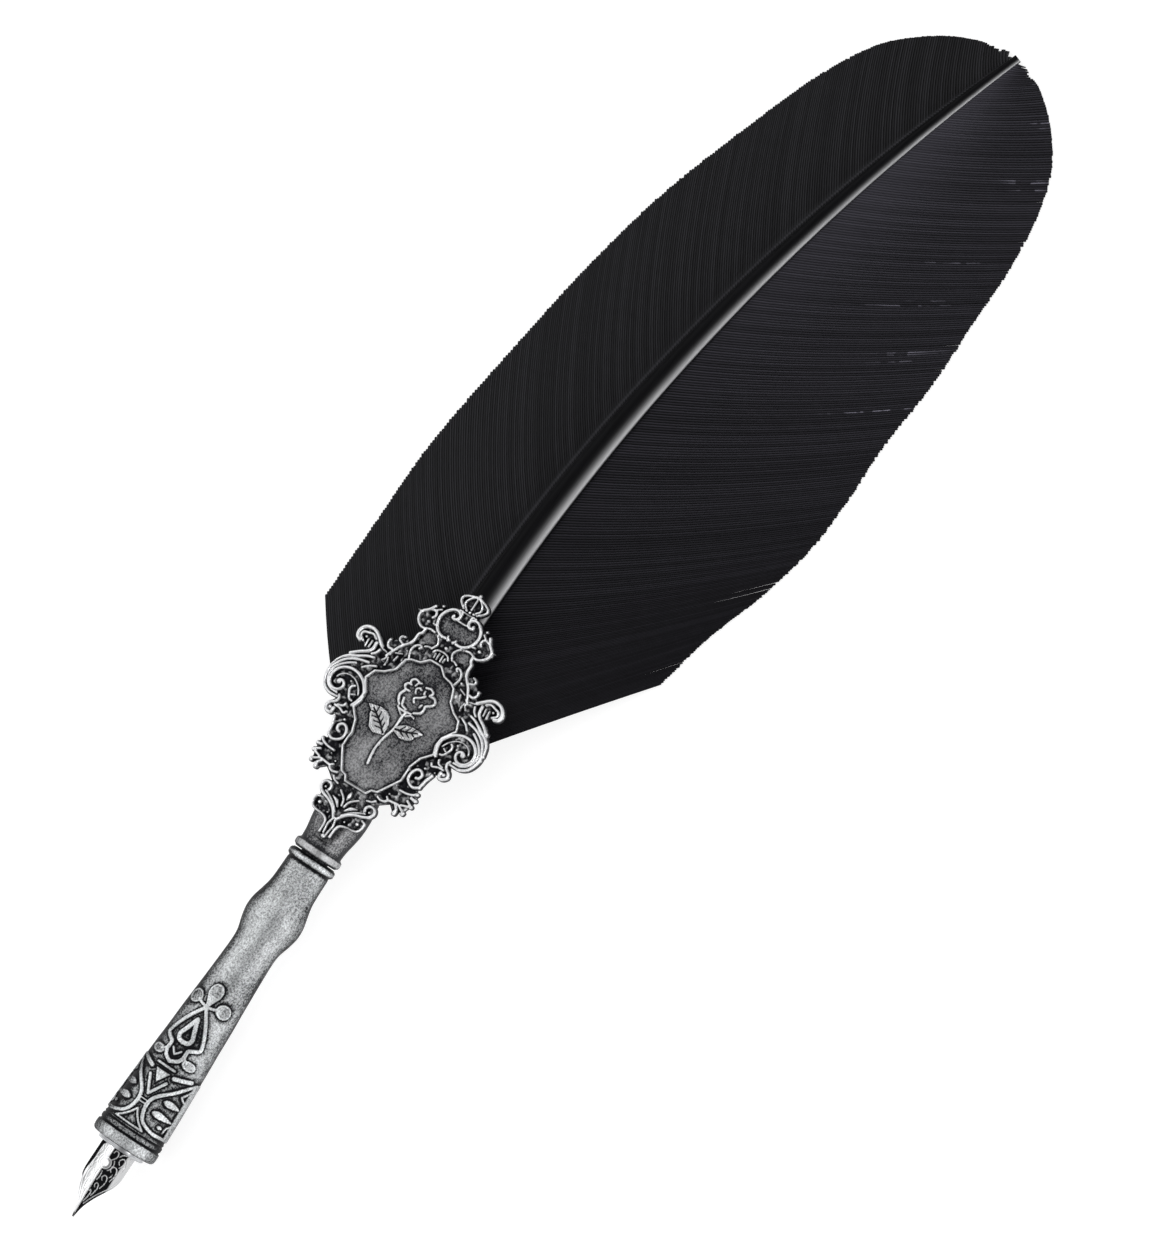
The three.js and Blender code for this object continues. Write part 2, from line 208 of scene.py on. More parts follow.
class Relief:
    """Heights over (u, v) in millimetres: a ground, with strokes and shapes that rise from it.

    inside says how deep a place lies within the strokes and shapes, negative outside them. cut
    holds the depths of the grooves, which are kept apart from the heights.
    """

    REACH = 1.0

    def __init__(self, us, vs, ground, profile=rounded):
        self.us, self.vs, self.ground, self.profile = us, vs, ground, profile
        self.height = ground.copy()
        self.inside = np.full(ground.shape, -FAR)
        self.cut = np.zeros(ground.shape)

    def window(self, low, high):
        i = np.searchsorted(self.us, [low[0] - self.REACH, high[0] + self.REACH])
        j = np.searchsorted(self.vs, [low[1] - self.REACH, high[1] + self.REACH])
        return np.s_[i[0]:i[1], j[0]:j[1]]

    def link(self, a, b, widths, rise, base, cut):
        widest = max(widths)
        part = self.window(np.minimum(a, b) - widest, np.maximum(a, b) + widest)
        if not self.height[part].size:
            return
        u = self.us[part[0], None] - a[0]
        v = self.vs[None, part[1]] - a[1]
        du, dv = b[0] - a[0], b[1] - a[1]
        t = np.clip((u * du + v * dv) / max(du * du + dv * dv, 1e-9), 0, 1)
        width = widths[0] + (widths[1] - widths[0]) * t
        away = np.hypot(u - t * du, v - t * dv)
        share = np.clip(1 - away / width, 0, 1)
        lift = rise * self.profile(share, width)
        if cut:
            self.cut[part] = np.maximum(self.cut[part], lift)
            return
        foot = self.ground[part] if base is None else base
        self.inside[part] = np.maximum(self.inside[part], width - away)
        self.height[part] = np.maximum(self.height[part], np.where(share > 0, foot + lift, -FAR))

    def stroke(self, width, points, rise, base=None, cut=False):
        """A ridge, or a groove if cut, along a curve. width is its half-width, or several along it."""
        line = smooth_line(points) if len(points) > 2 else np.asarray(points, float)
        at = np.linspace(0, 1, len(line))
        widths = np.interp(at, np.linspace(0, 1, np.size(width)), np.atleast_1d(width))
        for i in range(len(line) - 1):
            self.link(line[i], line[i + 1], (widths[i], widths[i + 1]), rise, base, cut)

    def ball(self, radius, centre, rise):
        centre = np.asarray(centre, float)
        self.link(centre, centre, (radius, radius), rise, None, False)

    def fill(self, outline, rise, bevel=0.12, smooth=False):
        """A raised shape with a bevelled edge."""
        outline = smooth_line(outline, closed=True) if smooth else np.asarray(outline, float)
        part = self.window(outline.min(axis=0), outline.max(axis=0))
        depth = depth_in(outline, self.us[part[0], None], self.vs[None, part[1]])
        self.inside[part] = np.maximum(self.inside[part], depth)
        raised = self.ground[part] + rise * ease(depth / bevel)
        self.height[part] = np.maximum(self.height[part], raised)

    def mirror(self):
        """Makes the -v side the same as the +v side, for a map that is centred on v = 0."""
        for values in (self.height, self.inside, self.cut):
            values[:] = np.maximum(values, values[:, ::-1])


def blurred(values, spread):
    """A soft copy of a map; spread is in cells."""
    reach = int(3 * spread)
    weights = np.exp(-0.5 * (np.arange(-reach, reach + 1) / spread) ** 2)
    weights /= weights.sum()
    for axis in (0, 1):
        padded = np.pad(values, [(reach, reach) if a == axis else (0, 0) for a in (0, 1)], mode="edge")
        length = values.shape[axis]
        values = sum(w * np.take(padded, range(i, i + length), axis=axis) for i, w in enumerate(weights))
    return values


def cell_loops(flags):
    """The outlines inside one cell: 0 to 3 are its corners, 4 to 7 the crossed edges after them."""
    if flags in ([1, 0, 1, 0], [0, 1, 0, 1]):  # opposite corners stay apart
        return [[4 + (k - 1) % 4, k, 4 + k] for k in range(4) if flags[k]]
    loop = []
    for k in range(4):
        if flags[k]:
            loop.append(k)
        if flags[k] != flags[(k + 1) % 4]:
            loop.append(4 + k)
    return [loop]


def relief_shell(us, vs, inside, top, bottom):
    """A sheet with a top and a bottom over the part of a grid where inside is above 0.

    Returns points as (u, v, height, share), where share is 1 on the top and 0 on the bottom, and the
    face sets. Cells on the outline are cut along it, and a wall joins the two skins there.
    """
    full = inside > 0
    maps = (*np.meshgrid(us, vs, indexing="ij"), top, bottom)

    def crossings(axis, first):
        """Where the outline crosses the grid's lines along an axis, numbered from first."""
        a = np.nonzero(np.diff(full, axis=axis))
        b = tuple(index + (k == axis) for k, index in enumerate(a))
        t = np.clip(inside[a] / (inside[a] - inside[b]), 0.02, 0.98)
        ids = np.full(full.shape, -1)
        ids[a] = first + np.arange(len(t))
        return np.stack([m[a] + (m[b] - m[a]) * t for m in maps], axis=1), ids

    ids = np.full(full.shape, -1)
    ids[full] = np.arange(full.sum())
    whole = np.stack([m[full] for m in maps], axis=1)
    across_u, ids_u = crossings(0, len(whole))
    across_v, ids_v = crossings(1, len(whole) + len(across_u))
    nodes = np.vstack([whole, across_u, across_v])

    # A cell's corners, in order, and then the crossing on the edge after each.
    places = [ids[:-1, :-1], ids[1:, :-1], ids[1:, 1:], ids[:-1, 1:],
              ids_u[:-1, :-1], ids_v[1:, :-1], ids_u[:-1, 1:], ids_v[:-1, :-1]]
    code = sum((places[k] >= 0) * 2**k for k in range(4))
    polygons = {3: [], 4: [], 5: []}
    walls = []
    for value in range(1, 16):
        cells = np.nonzero(code == value)
        for loop in cell_loops([value >> k & 1 for k in range(4)]):
            found = [places[k][cells] for k in loop]
            polygons[len(loop)].append(np.stack(found, axis=1))
            for k, after, a, b in zip(loop, loop[1:] + loop[:1], found, found[1:] + found[:1]):
                if k > 3 and after > 3:
                    walls.append(np.stack([a, b], axis=1))
    tops = [np.vstack(found) for found in polygons.values()]
    below = len(nodes)
    rim = np.vstack(walls)
    wall = np.stack([rim[:, 1], rim[:, 0], rim[:, 0] + below, rim[:, 1] + below], axis=1)
    ones = np.ones((below, 1))
    points = [np.hstack([nodes[:, :3], ones]), np.hstack([nodes[:, :2], nodes[:, 3:], 0 * ones])]
    return np.vstack(points), [*tops, *[f[:, ::-1] + below for f in tops], wall]


def sampled(us, vs, values, u, v):
    """A map's value at each (u, v), from the nearest grid place."""
    i = np.clip(np.round(np.interp(u, us, np.arange(len(us)))), 0, len(us) - 1).astype(int)
    j = np.clip(np.round(np.interp(v, vs, np.arange(len(vs)))), 0, len(vs) - 1).astype(int)
    return values[i, j]


# ---- Materials ----
class Nodes:
    """Builds the nodes of one material or world. Each method gives back the socket of its result."""

    def __init__(self, owner, shader="Principled BSDF", **values):
        self.owner = owner
        owner.use_nodes = True
        self.tree = owner.node_tree
        self.shader = self.tree.nodes[shader]
        self.set(**values)

    def put(self, socket, value):
        if isinstance(value, bpy.types.NodeSocket):
            self.tree.links.new(value, socket)
        else:
            socket.default_value = value

    def set(self, **values):
        """Sets or links the shader's own sockets."""
        for key, value in values.items():
            self.put(self.shader.inputs[key.replace("_", " ")], value)

    def node(self, kind, settings=None, **sockets):
        made = self.tree.nodes.new("ShaderNode" + kind)
        for key, value in (settings or {}).items():
            setattr(made, key, value)
        for key, value in sockets.items():
            self.put(made.inputs[key.replace("_", " ")], value)
        return made

    def calc(self, operation, a, b=0.0, clamp=False):
        made = self.node("Math", {"operation": operation, "use_clamp": clamp})
        self.put(made.inputs[0], a)
        self.put(made.inputs[1], b)
        return made.outputs[0]

    def add(self, a, b, clamp=False):
        return self.calc("ADD", a, b, clamp)

    def times(self, a, b):
        return self.calc("MULTIPLY", a, b)

    def mix(self, factor, a, b):
        """From colour a to colour b."""
        made = self.node("Mix", {"data_type": "RGBA"})
        self.put(made.inputs[0], factor)
        for socket, value in ((made.inputs[6], a), (made.inputs[7], b)):
            self.put(socket, value if isinstance(value, bpy.types.NodeSocket) else (*value, 1))
        return made.outputs[2]

    def ramp(self, value, low, high, to_low=0.0, to_high=1.0):
        return self.node("MapRange", {"interpolation_type": "SMOOTHSTEP"}, Value=value, From_Min=low,
                         From_Max=high, To_Min=to_low, To_Max=to_high).outputs[0]

    def grain(self, per_mm, detail=3.0, stretch=(1, 1, 1), roughness=0.55):
        """Noise with about per_mm grains in a millimetre, drawn out along an axis where stretch is small."""
        place = self.node("TexCoord").outputs["Object"]
        scaled = self.node("Mapping", Vector=place, Scale=[per_mm / MM * s for s in stretch]).outputs[0]
        noise = self.node("TexNoise", Vector=scaled, Scale=1.0, Detail=detail, Roughness=roughness)
        return noise.outputs["Fac"]

    def mark(self, name):
        return self.node("Attribute", {"attribute_name": name}).outputs["Fac"]

    def bump(self, height, strength, distance):
        made = self.node("Bump", Height=height, Strength=strength, Distance=distance)
        self.set(Normal=made.outputs[0])


def new_material(name, **values):
    return Nodes(bpy.data.materials.new(name), **values)


def tinted(colour, share):
    return [share * c for c in colour]


def cast_metal(name, light, dark, speckle, rough=(0.4, 0.6), clouds=0.35, relief=0.5, rim=0.7):
    """Antiqued cast metal: bright where it is rubbed, black where the mark "dark" says, with painted shade
    towards its outline.
    """
    m = new_material(name, Metallic=0.85)
    fine = m.grain(2.8, 4.0, roughness=0.8)
    cloud = m.grain(0.22, stretch=(0.5, 1, 1))
    streak = m.grain(1.6, 2.0, stretch=(0.2, 1, 1))
    pits = m.ramp(fine, 0.4, 0.62, -0.5 * speckle, 0.5 * speckle)
    worn = m.times(m.ramp(cloud, 0.35, 0.7), clouds)
    # Painted shade: darker where the surface turns away from the view, towards its outline.
    edge = m.ramp(m.node("LayerWeight", Blend=0.5).outputs["Facing"], 0.12, 0.8, 0.0, rim)
    patina_and_edge_shade = m.add(m.add(m.mark("dark"), pits), m.add(worn, edge), clamp=True)
    lit = m.mix(m.ramp(streak, 0.35, 0.7), light, tinted(light, 0.85))
    m.set(Base_Color=m.mix(patina_and_edge_shade, lit, dark), Roughness=m.ramp(patina_and_edge_shade, 0, 1, *rough))
    m.bump(m.add(fine, m.times(streak, 0.4)), relief, 0.0001)
    return m.owner


def polished_steel():
    """Bright steel, black where the mark "dark" says and dull where "etched" does."""
    m = new_material("polished_steel", Specular_IOR_Level=0.0)
    hair = m.grain(6.0, 2.0, stretch=(0.05, 1, 1))
    clean = m.mix(m.ramp(hair, 0.4, 0.65), (0.93, 0.93, 0.94), (0.84, 0.85, 0.86))
    dark = m.mark("dark")
    rough = m.add(m.ramp(hair, 0.3, 0.7, 0.03, 0.06), m.times(m.mark("etched"), 0.42))
    m.set(Base_Color=m.mix(dark, clean, (0.008, 0.008, 0.009)), Roughness=rough,
          Metallic=m.calc("SUBTRACT", 1.0, dark, clamp=True))
    m.bump(hair, 0.06, 0.00001)
    return m.owner


def brushed(name, colour, rough):
    """Turned and drawn metal with fine lines round it."""
    m = new_material(name, Metallic=1.0)
    line = m.grain(9.0, 2.0, stretch=(1, 0.05, 0.05))
    tone = m.add(m.times(line, 0.5), m.times(m.grain(0.4), 0.5))
    m.set(Base_Color=m.mix(m.ramp(tone, 0.35, 0.65), colour, tinted(colour, 0.6)),
          Roughness=m.ramp(tone, 0.3, 0.7, rough, rough + 0.2))
    m.bump(line, 0.2, 0.00001)
    return m.owner


def resin():
    m = new_material("amber_glue", Roughness=0.22, Transmission_Weight=0.35, IOR=1.5)
    bubble = m.grain(1.2)
    m.set(Base_Color=m.mix(m.ramp(bubble, 0.4, 0.7), (0.5, 0.36, 0.16), (0.3, 0.18, 0.07)))
    m.bump(bubble, 0.3, 0.0001)
    return m.owner


def quill_keratin():
    """Dyed black, with a painted highlight: a pale streak along one side where the mark "streak" says."""
    m = new_material("black_keratin", Specular_IOR_Level=0.06)
    fibre = m.grain(4.0, stretch=(0.03, 1, 1))
    tone = m.add(m.times(fibre, 0.6), m.times(m.grain(0.25, stretch=(0.25, 1, 1)), 0.4))
    black = m.mix(m.ramp(tone, 0.35, 0.65), (0.0015, 0.0015, 0.002), (0.004, 0.004, 0.005))
    pale = m.mix(m.ramp(tone, 0.3, 0.7), (0.62, 0.62, 0.63), (0.48, 0.48, 0.49))
    m.set(Base_Color=m.mix(m.mark("streak"), black, pale), Roughness=m.ramp(tone, 0.3, 0.7, 0.26, 0.42))
    m.bump(fibre, 0.25, 0.00003)
    return m.owner


BARBULE_PITCH = 0.16


def barb_keratin(name, tint, sheen):
    """Dyed barbs: each has its own tone and a painted highlight along its ridge, and fine barbules cross it.
    The marks "glow" and "frayed" paint a pale sheen and glints.
    """
    m = new_material(name, Sheen_Weight=sheen, Sheen_Roughness=0.35, Sheen_Tint=(0.75, 0.78, 0.9, 1),
                     Specular_IOR_Level=0.07)
    barbule = m.calc("SINE", m.times(m.mark("along"), 2 * math.pi / BARBULE_PITCH))
    tone = m.add(m.mark("tone"), m.times(m.grain(0.5, stretch=(1, 0.3, 1)), 0.5))
    tone = m.add(tone, m.times(barbule, 0.12))
    colour = m.mix(m.ramp(tone, 0.0, 1.3), tinted(tint, 0.6), tinted(tint, 1.6))
    ridge = m.times(m.mark("ridge"), m.ramp(tone, 0.0, 1.6, 0.45, 1.0))
    frayed_glints = m.times(m.mark("frayed_glints"), m.ramp(m.grain(0.4, 1.0), 0.46, 0.54))
    # Painted sheen by the shaft and painted glints on a few barbs.
    pale = m.add(m.mark("glow"), frayed_glints, clamp=True)
    m.set(Base_Color=m.mix(pale, m.mix(ridge, colour, tinted(tint, 21)), tinted(tint, 160)),
          Roughness=m.ramp(tone, 0, 1.3, 0.44, 0.62))
    m.bump(barbule, 0.12, 0.00002)
    return m.owner


PEWTER = cast_metal("antique_pewter", (0.93, 0.955, 0.97), (0.008, 0.008, 0.01), speckle=0.52,
                    clouds=0.28, relief=0.9, rim=0.58)
NECK_PEWTER = cast_metal("neck_pewter", (0.6, 0.6, 0.61), (0.03, 0.03, 0.034), speckle=0.6)
CREST_PEWTER = cast_metal("crest_pewter", (0.98, 0.985, 1.0), (0.016, 0.016, 0.02), speckle=0.26,
                          clouds=0.18, rough=(0.36, 0.62), relief=0.35)
STEEL = polished_steel()
FERRULE_STEEL = brushed("drawn_steel", (0.62, 0.63, 0.65), 0.28)
BRASS = brushed("sprung_brass", (0.72, 0.58, 0.3), 0.25)
GLUE = resin()
QUILL = quill_keratin()
BARBS_LEFT = barb_keratin("black_barbs_left", (0.0026, 0.0026, 0.0029), 0.02)
BARBS_RIGHT = barb_keratin("black_barbs_right", (0.0026, 0.0025, 0.0031), 0.02)


# ---- Nib ----
NIB_LENGTH = 27.5
NIB_R = 3.75
NIB_THICK = 0.3
NIB_SHOULDER = 11.0
NIB_DIP = 1.8
SHANK_ANGLE = 1.42
VENT_X, VENT_R = 11.9, 0.6
SLIT = 0.05
ENGRAVING_DEPTH = 0.06
CUP_EDGE = 16.2  # the nib's marks end here, inside the ferrule

# Engraved scrolls: [distance from the point, distance round from the slit]. The other half of the nib
# has the same ones, mirrored.
NIB_SCROLLS = [
    [(3.6, 0.25), (4.8, 0.55), (5.8, 0.6), (6.2, 0.35), (5.8, 0.22)],
    [(5.2, 0.95), (6.6, 1.3), (7.6, 1.2), (7.9, 0.75), (7.4, 0.5), (7.0, 0.75)],
    [(7.2, 1.7), (8.6, 2.1), (9.6, 1.9), (9.9, 1.3), (9.3, 0.95), (8.8, 1.25)],
    [(9.3, 2.65), (10.6, 3.0), (11.8, 2.7), (12.1, 2.0), (11.5, 1.55), (10.9, 1.9)],
    [(11.8, 3.7), (13.0, 3.8), (14.0, 3.3), (14.2, 2.5), (13.5, 2.1), (12.9, 2.5)],
    [(12.9, 0.7), (13.8, 1.3), (14.7, 1.2), (14.9, 0.6), (14.3, 0.35)],
    [(13.4, 4.6), (14.4, 4.7), (15.0, 4.2), (14.9, 3.5)],
    [(8.3, 0.3), (9.3, 0.5), (10.3, 0.35)],
    [(10.8, 1.1), (11.4, 1.5), (12.4, 1.6), (13.1, 1.3)],
    [(9.9, 2.2), (10.3, 2.4), (10.7, 2.4)],
    [(12.4, 2.8), (12.8, 3.1), (13.3, 3.2)],
    [(14.2, 1.7), (14.9, 2.2), (15.1, 3.0)],
]

# Half the bend's angle at distances from the point: slim tines, then shoulders.
NIB_EDGE = smooth_line([(-0.5, 0.0), (0, 0.03), (2.5, 0.19), (5, 0.48), (7, 0.81), (8.5, 1.13), (10, 1.36),
                        (NIB_SHOULDER, SHANK_ANGLE), (12, SHANK_ANGLE)], 0.2)


def nib_half_width(x):
    """Half the sheet's width round the bend."""
    return NIB_R * np.interp(x, NIB_EDGE[:, 0], NIB_EDGE[:, 1])


def draw_engraving(relief):
    """The scrolls, a border line, a ring round the vent, and a hatched band at the shank's start."""
    inset, ring_r = 0.45, 1.1
    border = [(x, float(nib_half_width(x)) - inset) for x in (3.2, 5, 7, 9, 10.5)]
    ring = [(VENT_X + ring_r * math.cos(a), ring_r * math.sin(a)) for a in (0, 0.8, 1.6, 2.4, 3.14)]
    lines = [([0.08, 0.11, 0.07], scroll) for scroll in NIB_SCROLLS] + [(0.08, border), (0.12, ring)]
    lines += [(0.1, [(x, 0), (x, 5.2)]) for x in (15.4, 16.4)]
    lines += [(0.12, [(15.6, 0.3 + 0.55 * k), (16.2, 0.55 + 0.55 * k)]) for k in range(9)]
    for width, points in lines:
        relief.stroke(width, points, 1, cut=True)
    relief.mirror()


def make_nib():
    us = np.concatenate([np.arange(-0.1, 17, 0.1), np.arange(17, NIB_LENGTH + 0.3, 0.5)])
    vs = np.arange(-56, 57) * 0.1
    u, v = us[:, None], vs[None, :]
    edge = np.minimum(nib_half_width(u) - abs(v), np.minimum(u, NIB_LENGTH - u))
    edge = np.minimum(edge, np.hypot(u - VENT_X, v) - VENT_R)
    edge = np.minimum(edge, np.where(u < VENT_X, abs(v) - SLIT, FAR))
    engraving = Relief(us, vs, np.zeros(edge.shape))
    draw_engraving(engraving)
    top = NIB_THICK - ENGRAVING_DEPTH * engraving.cut
    shape, faces = relief_shell(us, vs, edge, top, np.zeros(edge.shape))
    x, s, height, is_top = shape.T
    angle = s / NIB_R
    radius = NIB_R - NIB_THICK + height
    dip = NIB_DIP * np.clip(1 - x / NIB_SHOULDER, 0, 1) ** 1.6
    points = np.stack([x, radius * np.sin(angle), AXIS_Z - dip + radius * np.cos(angle)], axis=1)
    carved = sampled(us, vs, engraving.cut, x, s)
    # Painted dark reflections, as seen from above: the black ground of the engraved half, laid over the
    # engraving's own blackened ground, and the dark line along the other rim.
    seen_y = NIB_R * np.sin(angle)
    seen_rim = NIB_R * (np.sin(nib_half_width(x) / NIB_R) - np.sin(abs(angle)))
    ground = ease((0.15 - seen_y) / 0.2) * ease((seen_y + 2.85) / 0.2)
    ground *= (1 - ease(2 * carved)) * ease((np.hypot(x - VENT_X, s) - 0.8) / 0.15)
    rim_width = 0.5 + 0.8 * ease((x - 7.5) / 4) + 0.6 * ease((x - 14.3) / 1.2)
    rim_dark_reflection = ease((rim_width - seen_rim) / 0.2) * ease((x - 7.2) / 0.6) * (s > 0)
    in_sight = 1 - ease((x - CUP_EDGE) / 0.6)
    # The -Y half is also a little darker all over: a painted dark reflection.
    dark = np.clip(1 - ease((x - 0.3) / 1.0) + in_sight * (ground + rim_dark_reflection + 0.34 * (s < 0)), 0, 1)
    add_piece("steel_nib", points, faces, STEEL, "nib", body="nib",
              marks={"dark": dark, "etched": is_top * ease(1.4 * carved)})


# ---- Holder ----
FERRULE = [
    (28.5, 0), (28.5, 3.95), (15.35, 3.95), (15.2, 4.05), (15.2, 4.6), (15.26, 4.75), (15.4, 4.86),
    (15.6, 4.9), (30, 4.9), (30, 0),
]


def make_ferrule(columns=96):
    profile = np.array(FERRULE)[1:-1]
    points, faces = turned(profile[:, 0], np.repeat(profile[:, 1:], columns, axis=1))
    add_piece("ferrule_tube", points, faces, FERRULE_STEEL, "ferrule_cup")


# The barrel's ornament repeats on its back. One half period is drawn, as [distance along
# the pen, distance round from the middle line at a radius of ROUND_AT].
ROUND_AT = 6.0
REPEATS = 2
BARREL_COLUMNS = 288
ORNAMENT_START = 20.2
ORNAMENT_END = 52.5
BAND_END = 33.7  # the lower band's ground is sunk and dark up to here
ORNAMENT_RISE = 0.32

ARC = [
    (21.3, 9.6), (21.3, 6.5), (21.3, 4.66), (21.7, 3.1), (22.4, 1.95), (23.6, 1.28), (25, 0.98),
    (26.3, 1.07), (27.5, 1.67), (28.8, 2.98), (30.2, 4.55), (31.9, 6.44), (32.9, 8.2), (33.2, 9.6),
]
TEARDROP = [
    (34.45, 0), (35.3, 1.41), (36.5, 1.95), (37.7, 1.9), (38.2, 2.57), (39, 3.94), (40, 3.86), (42, 2.97),
    (44, 1.82), (46.6, 0),
]
INNER_DROP = [(38.75, 0), (39.0, 1.0), (39.9, 1.45), (41.3, 0.95), (43.8, 0)]

# Each stroke starts with its half-width.
ORNAMENT_STROKES = [
    (0.26, [(20.65, 0), (20.65, 2.9)]),
    (0.28, [(20.7, 2.8), (21.6, 1.7), (22.6, 0.8), (23.9, 0)]),
    (0.42, ARC),
    (0.22, [(25.3, 0), (25.3, 1)]),
    (0.22, [(26.0, 0), (26.0, 1)]),
    (0.26, [(22.3, 6.6), (23.4, 6.9), (23.9, 7.6)]),
    (0.3, [(29.2, 7.4), (29.9, 6.2), (30.6, 6.9), (31.4, 7.6)]),
    (0.36, [(30.6, 1.87), (27.3, 0)]),
    (0.34, [(33.35, 0), (33.35, 1.9)]),
    (0.5, [(32.1, 2.6), (33.2, 6.3)]),
    (0.46, TEARDROP),
    (0.3, [(36.3, 2.2), (35.7, 3)]),
    (0.28, [(37.1, 0.95), (36, 0)]),
    (0.52, INNER_DROP),
    (0.36, [(46.7, 0.3), (46.9, 1.4), (47.3, 2.6)]),
]
ORNAMENT_SHAPES = [
    ellipse((22.9, 5.4), (0.42, 0.7)),
    [(20.9, 7.6), (33, 7.6), (33, 10.2), (20.9, 10.2)],
    [(29.3, -0.2), (32.4, -1), (32.4, 1.65)],
    [(46.6, -0.3), (48.2, -1.1), (49.2, -1.6), (49.2, 1.6), (48.2, 1.1), (46.6, 0.3)],
]
PETALS = [((35.5, 3.7), (0.75, 1.35)), ((47.5, 3.75), (1.25, 1.6)), ((49.9, 0), (1.6, 1.5))]


def draw_ornament(relief):
    rise = ORNAMENT_RISE
    for width, points in ORNAMENT_STROKES:
        relief.stroke(width, points, rise)
    for outline in ORNAMENT_SHAPES:
        relief.fill(outline, rise)
    for x, v in ((24.7, 2.5), (27.5, 3.3)):  # lobes between the arc and the side panel
        lobe = [(x - 0.1, v), (x + 0.5, v + 0.25), (x + 0.85, v + 1.1), (x + 0.75, v + 2.3), (x + 0.2, 7.4),
                (x - 0.2, 7.4), (x - 0.55, v + 2.3), (x - 0.6, v + 0.9)]
        relief.fill(lobe, rise, smooth=True)
    for centre, radii in PETALS:  # dished, inside a bright rim
        outline = ellipse(centre, radii)
        relief.fill(outline, 0.62 * rise)
        relief.stroke(0.26, np.vstack([outline, outline[:1]]), rise)


def barrel_ornament(xs):
    """Heights and patina of the ornament on rows xs and on every column round the barrel."""
    half_period = math.pi / REPEATS * ROUND_AT
    half_columns = BARREL_COLUMNS // REPEATS // 2
    vs = np.linspace(0, half_period, half_columns + 1)
    relief = Relief(xs, vs, np.zeros((len(xs), len(vs))), flat_topped)
    draw_ornament(relief)
    x = np.broadcast_to(xs[:, None], relief.height.shape)
    near = np.exp(-np.clip(-relief.inside - 0.08, 0, None) / 0.34)
    in_drop = ease(depth_in([*TEARDROP, (40, -5)], x, vs[None, :]) / 0.2 + 0.5)
    in_band = (x > ORNAMENT_START) & (x < BAND_END)
    around = np.maximum(0.9 * near, 0.42 * in_drop + 0.5 * in_drop * near)
    outside = np.where(in_band, 0.12 + 0.85 * near, around)
    low = 1 - ease(relief.height / ORNAMENT_RISE * 1.2 - 0.1)
    dark = outside * low - 0.3 * (1 - low)
    sunk = np.where(in_band, ease((x - ORNAMENT_START) / 0.3) * ease((BAND_END - x) / 0.4), 0)
    height = relief.height - ORNAMENT_RISE * 0.45 * sunk
    column = np.arange(BARREL_COLUMNS)
    folded = np.abs((column + half_columns) % (2 * half_columns) - half_columns)
    return height[:, folded], dark[:, folded]


# The barrel's outline as [distance along the pen, radius]: the mouth ring and its grooves, the
# taper with the bulb in its rear half, and the rear ring.
MOUTH = [
    (30.3, 5), (16.15, 5), (16, 5.1), (16, 5.9), (16.06, 6.2), (16.25, 6.5), (16.6, 6.7), (17.4, 6.78),
    (18.1, 6.74), (18.28, 6.68), (18.38, 6.5), (18.5, 6.38), (18.62, 6.38), (18.75, 6.5), (18.9, 6.58),
    (19.5, 6.58), (19.65, 6.5), (19.75, 6.36), (19.92, 6.34), (20.02, 6.4), (20.12, 6.46),
]
TAPER = smooth_line([
    (20.2, 6.47), (26, 6.22), (31, 5.98), (35, 5.85), (40, 5.55), (45, 5.32), (50, 5.0), (56, 4.68),
    (60, 4.54), (62, 4.71), (64, 5.28), (66, 5.72), (67.5, 5.78), (69, 5.6), (71, 5.1), (73, 4.68),
    (75, 4.55), (78.7, 4.48),
], 0.5)
REAR = [
    (78.8, 4.4), (78.95, 4.42), (79.1, 4.62), (79.25, 4.82), (79.5, 4.95), (79.85, 4.97), (80.2, 4.95),
    (80.45, 4.82), (80.6, 4.6), (80.75, 4.42), (80.75, 3), (70.2, 3),
]
FACE_POINTS = 4  # how many of MOUTH's points are in the bore and on the front face
DARK_GROOVES = [(18.56, 0.2), (19.85, 0.2), (78.95, 0.3), (80.75, 0.35)]


def make_barrel():
    fine = np.arange(ORNAMENT_START, ORNAMENT_END, 0.125)
    coarse = np.arange(ORNAMENT_END, 78.7, 0.35)
    taper_x = np.concatenate([fine, coarse])
    taper = np.stack([taper_x, np.interp(taper_x, TAPER[:, 0], TAPER[:, 1])], axis=1)
    xs, radius = np.vstack([MOUTH, taper, REAR]).T
    radii = np.repeat(radius[:, None], BARREL_COLUMNS, axis=1)
    rows = slice(len(MOUTH), len(MOUTH) + len(fine))
    ornament, patina = barrel_ornament(fine)
    radii[rows] += ornament
    x = xs[:, None]
    side = np.sin(2 * np.pi * np.arange(BARREL_COLUMNS) / BARREL_COLUMNS)
    # Painted shade: the +Y flank is darker.
    dark = 0.33 + 0.2 * bell(side, 0.78, 0.24) + np.zeros(radii.shape)  # darker along one flank
    for groove, width in DARK_GROOVES:
        dark += 0.95 * bell(x, groove, width)
    dark += 0.08 * (ease((x - 70.5) / 2) * ease((79.2 - x) / 0.3))  # the stem behind the bulb
    dark -= 0.3 * bell(x, 79.8, 0.3)  # the ring's worn crest
    dark[:FACE_POINTS] = 0.6
    dark += 0.22 * (abs(x - 19.2) < 0.5) - 0.12 * (x < 18)  # the band between grooves, the mouth ring
    dark[rows] += patina
    points, faces = turned(xs, radii)
    marks = {"dark": np.concatenate([dark.ravel(), [1, 1]])}
    add_piece("barrel_casting", points, faces, PEWTER, "barrel", marks=marks)


CREST_BACK = AXIS_Z + 4.3
SEAT_GAP = 0.3


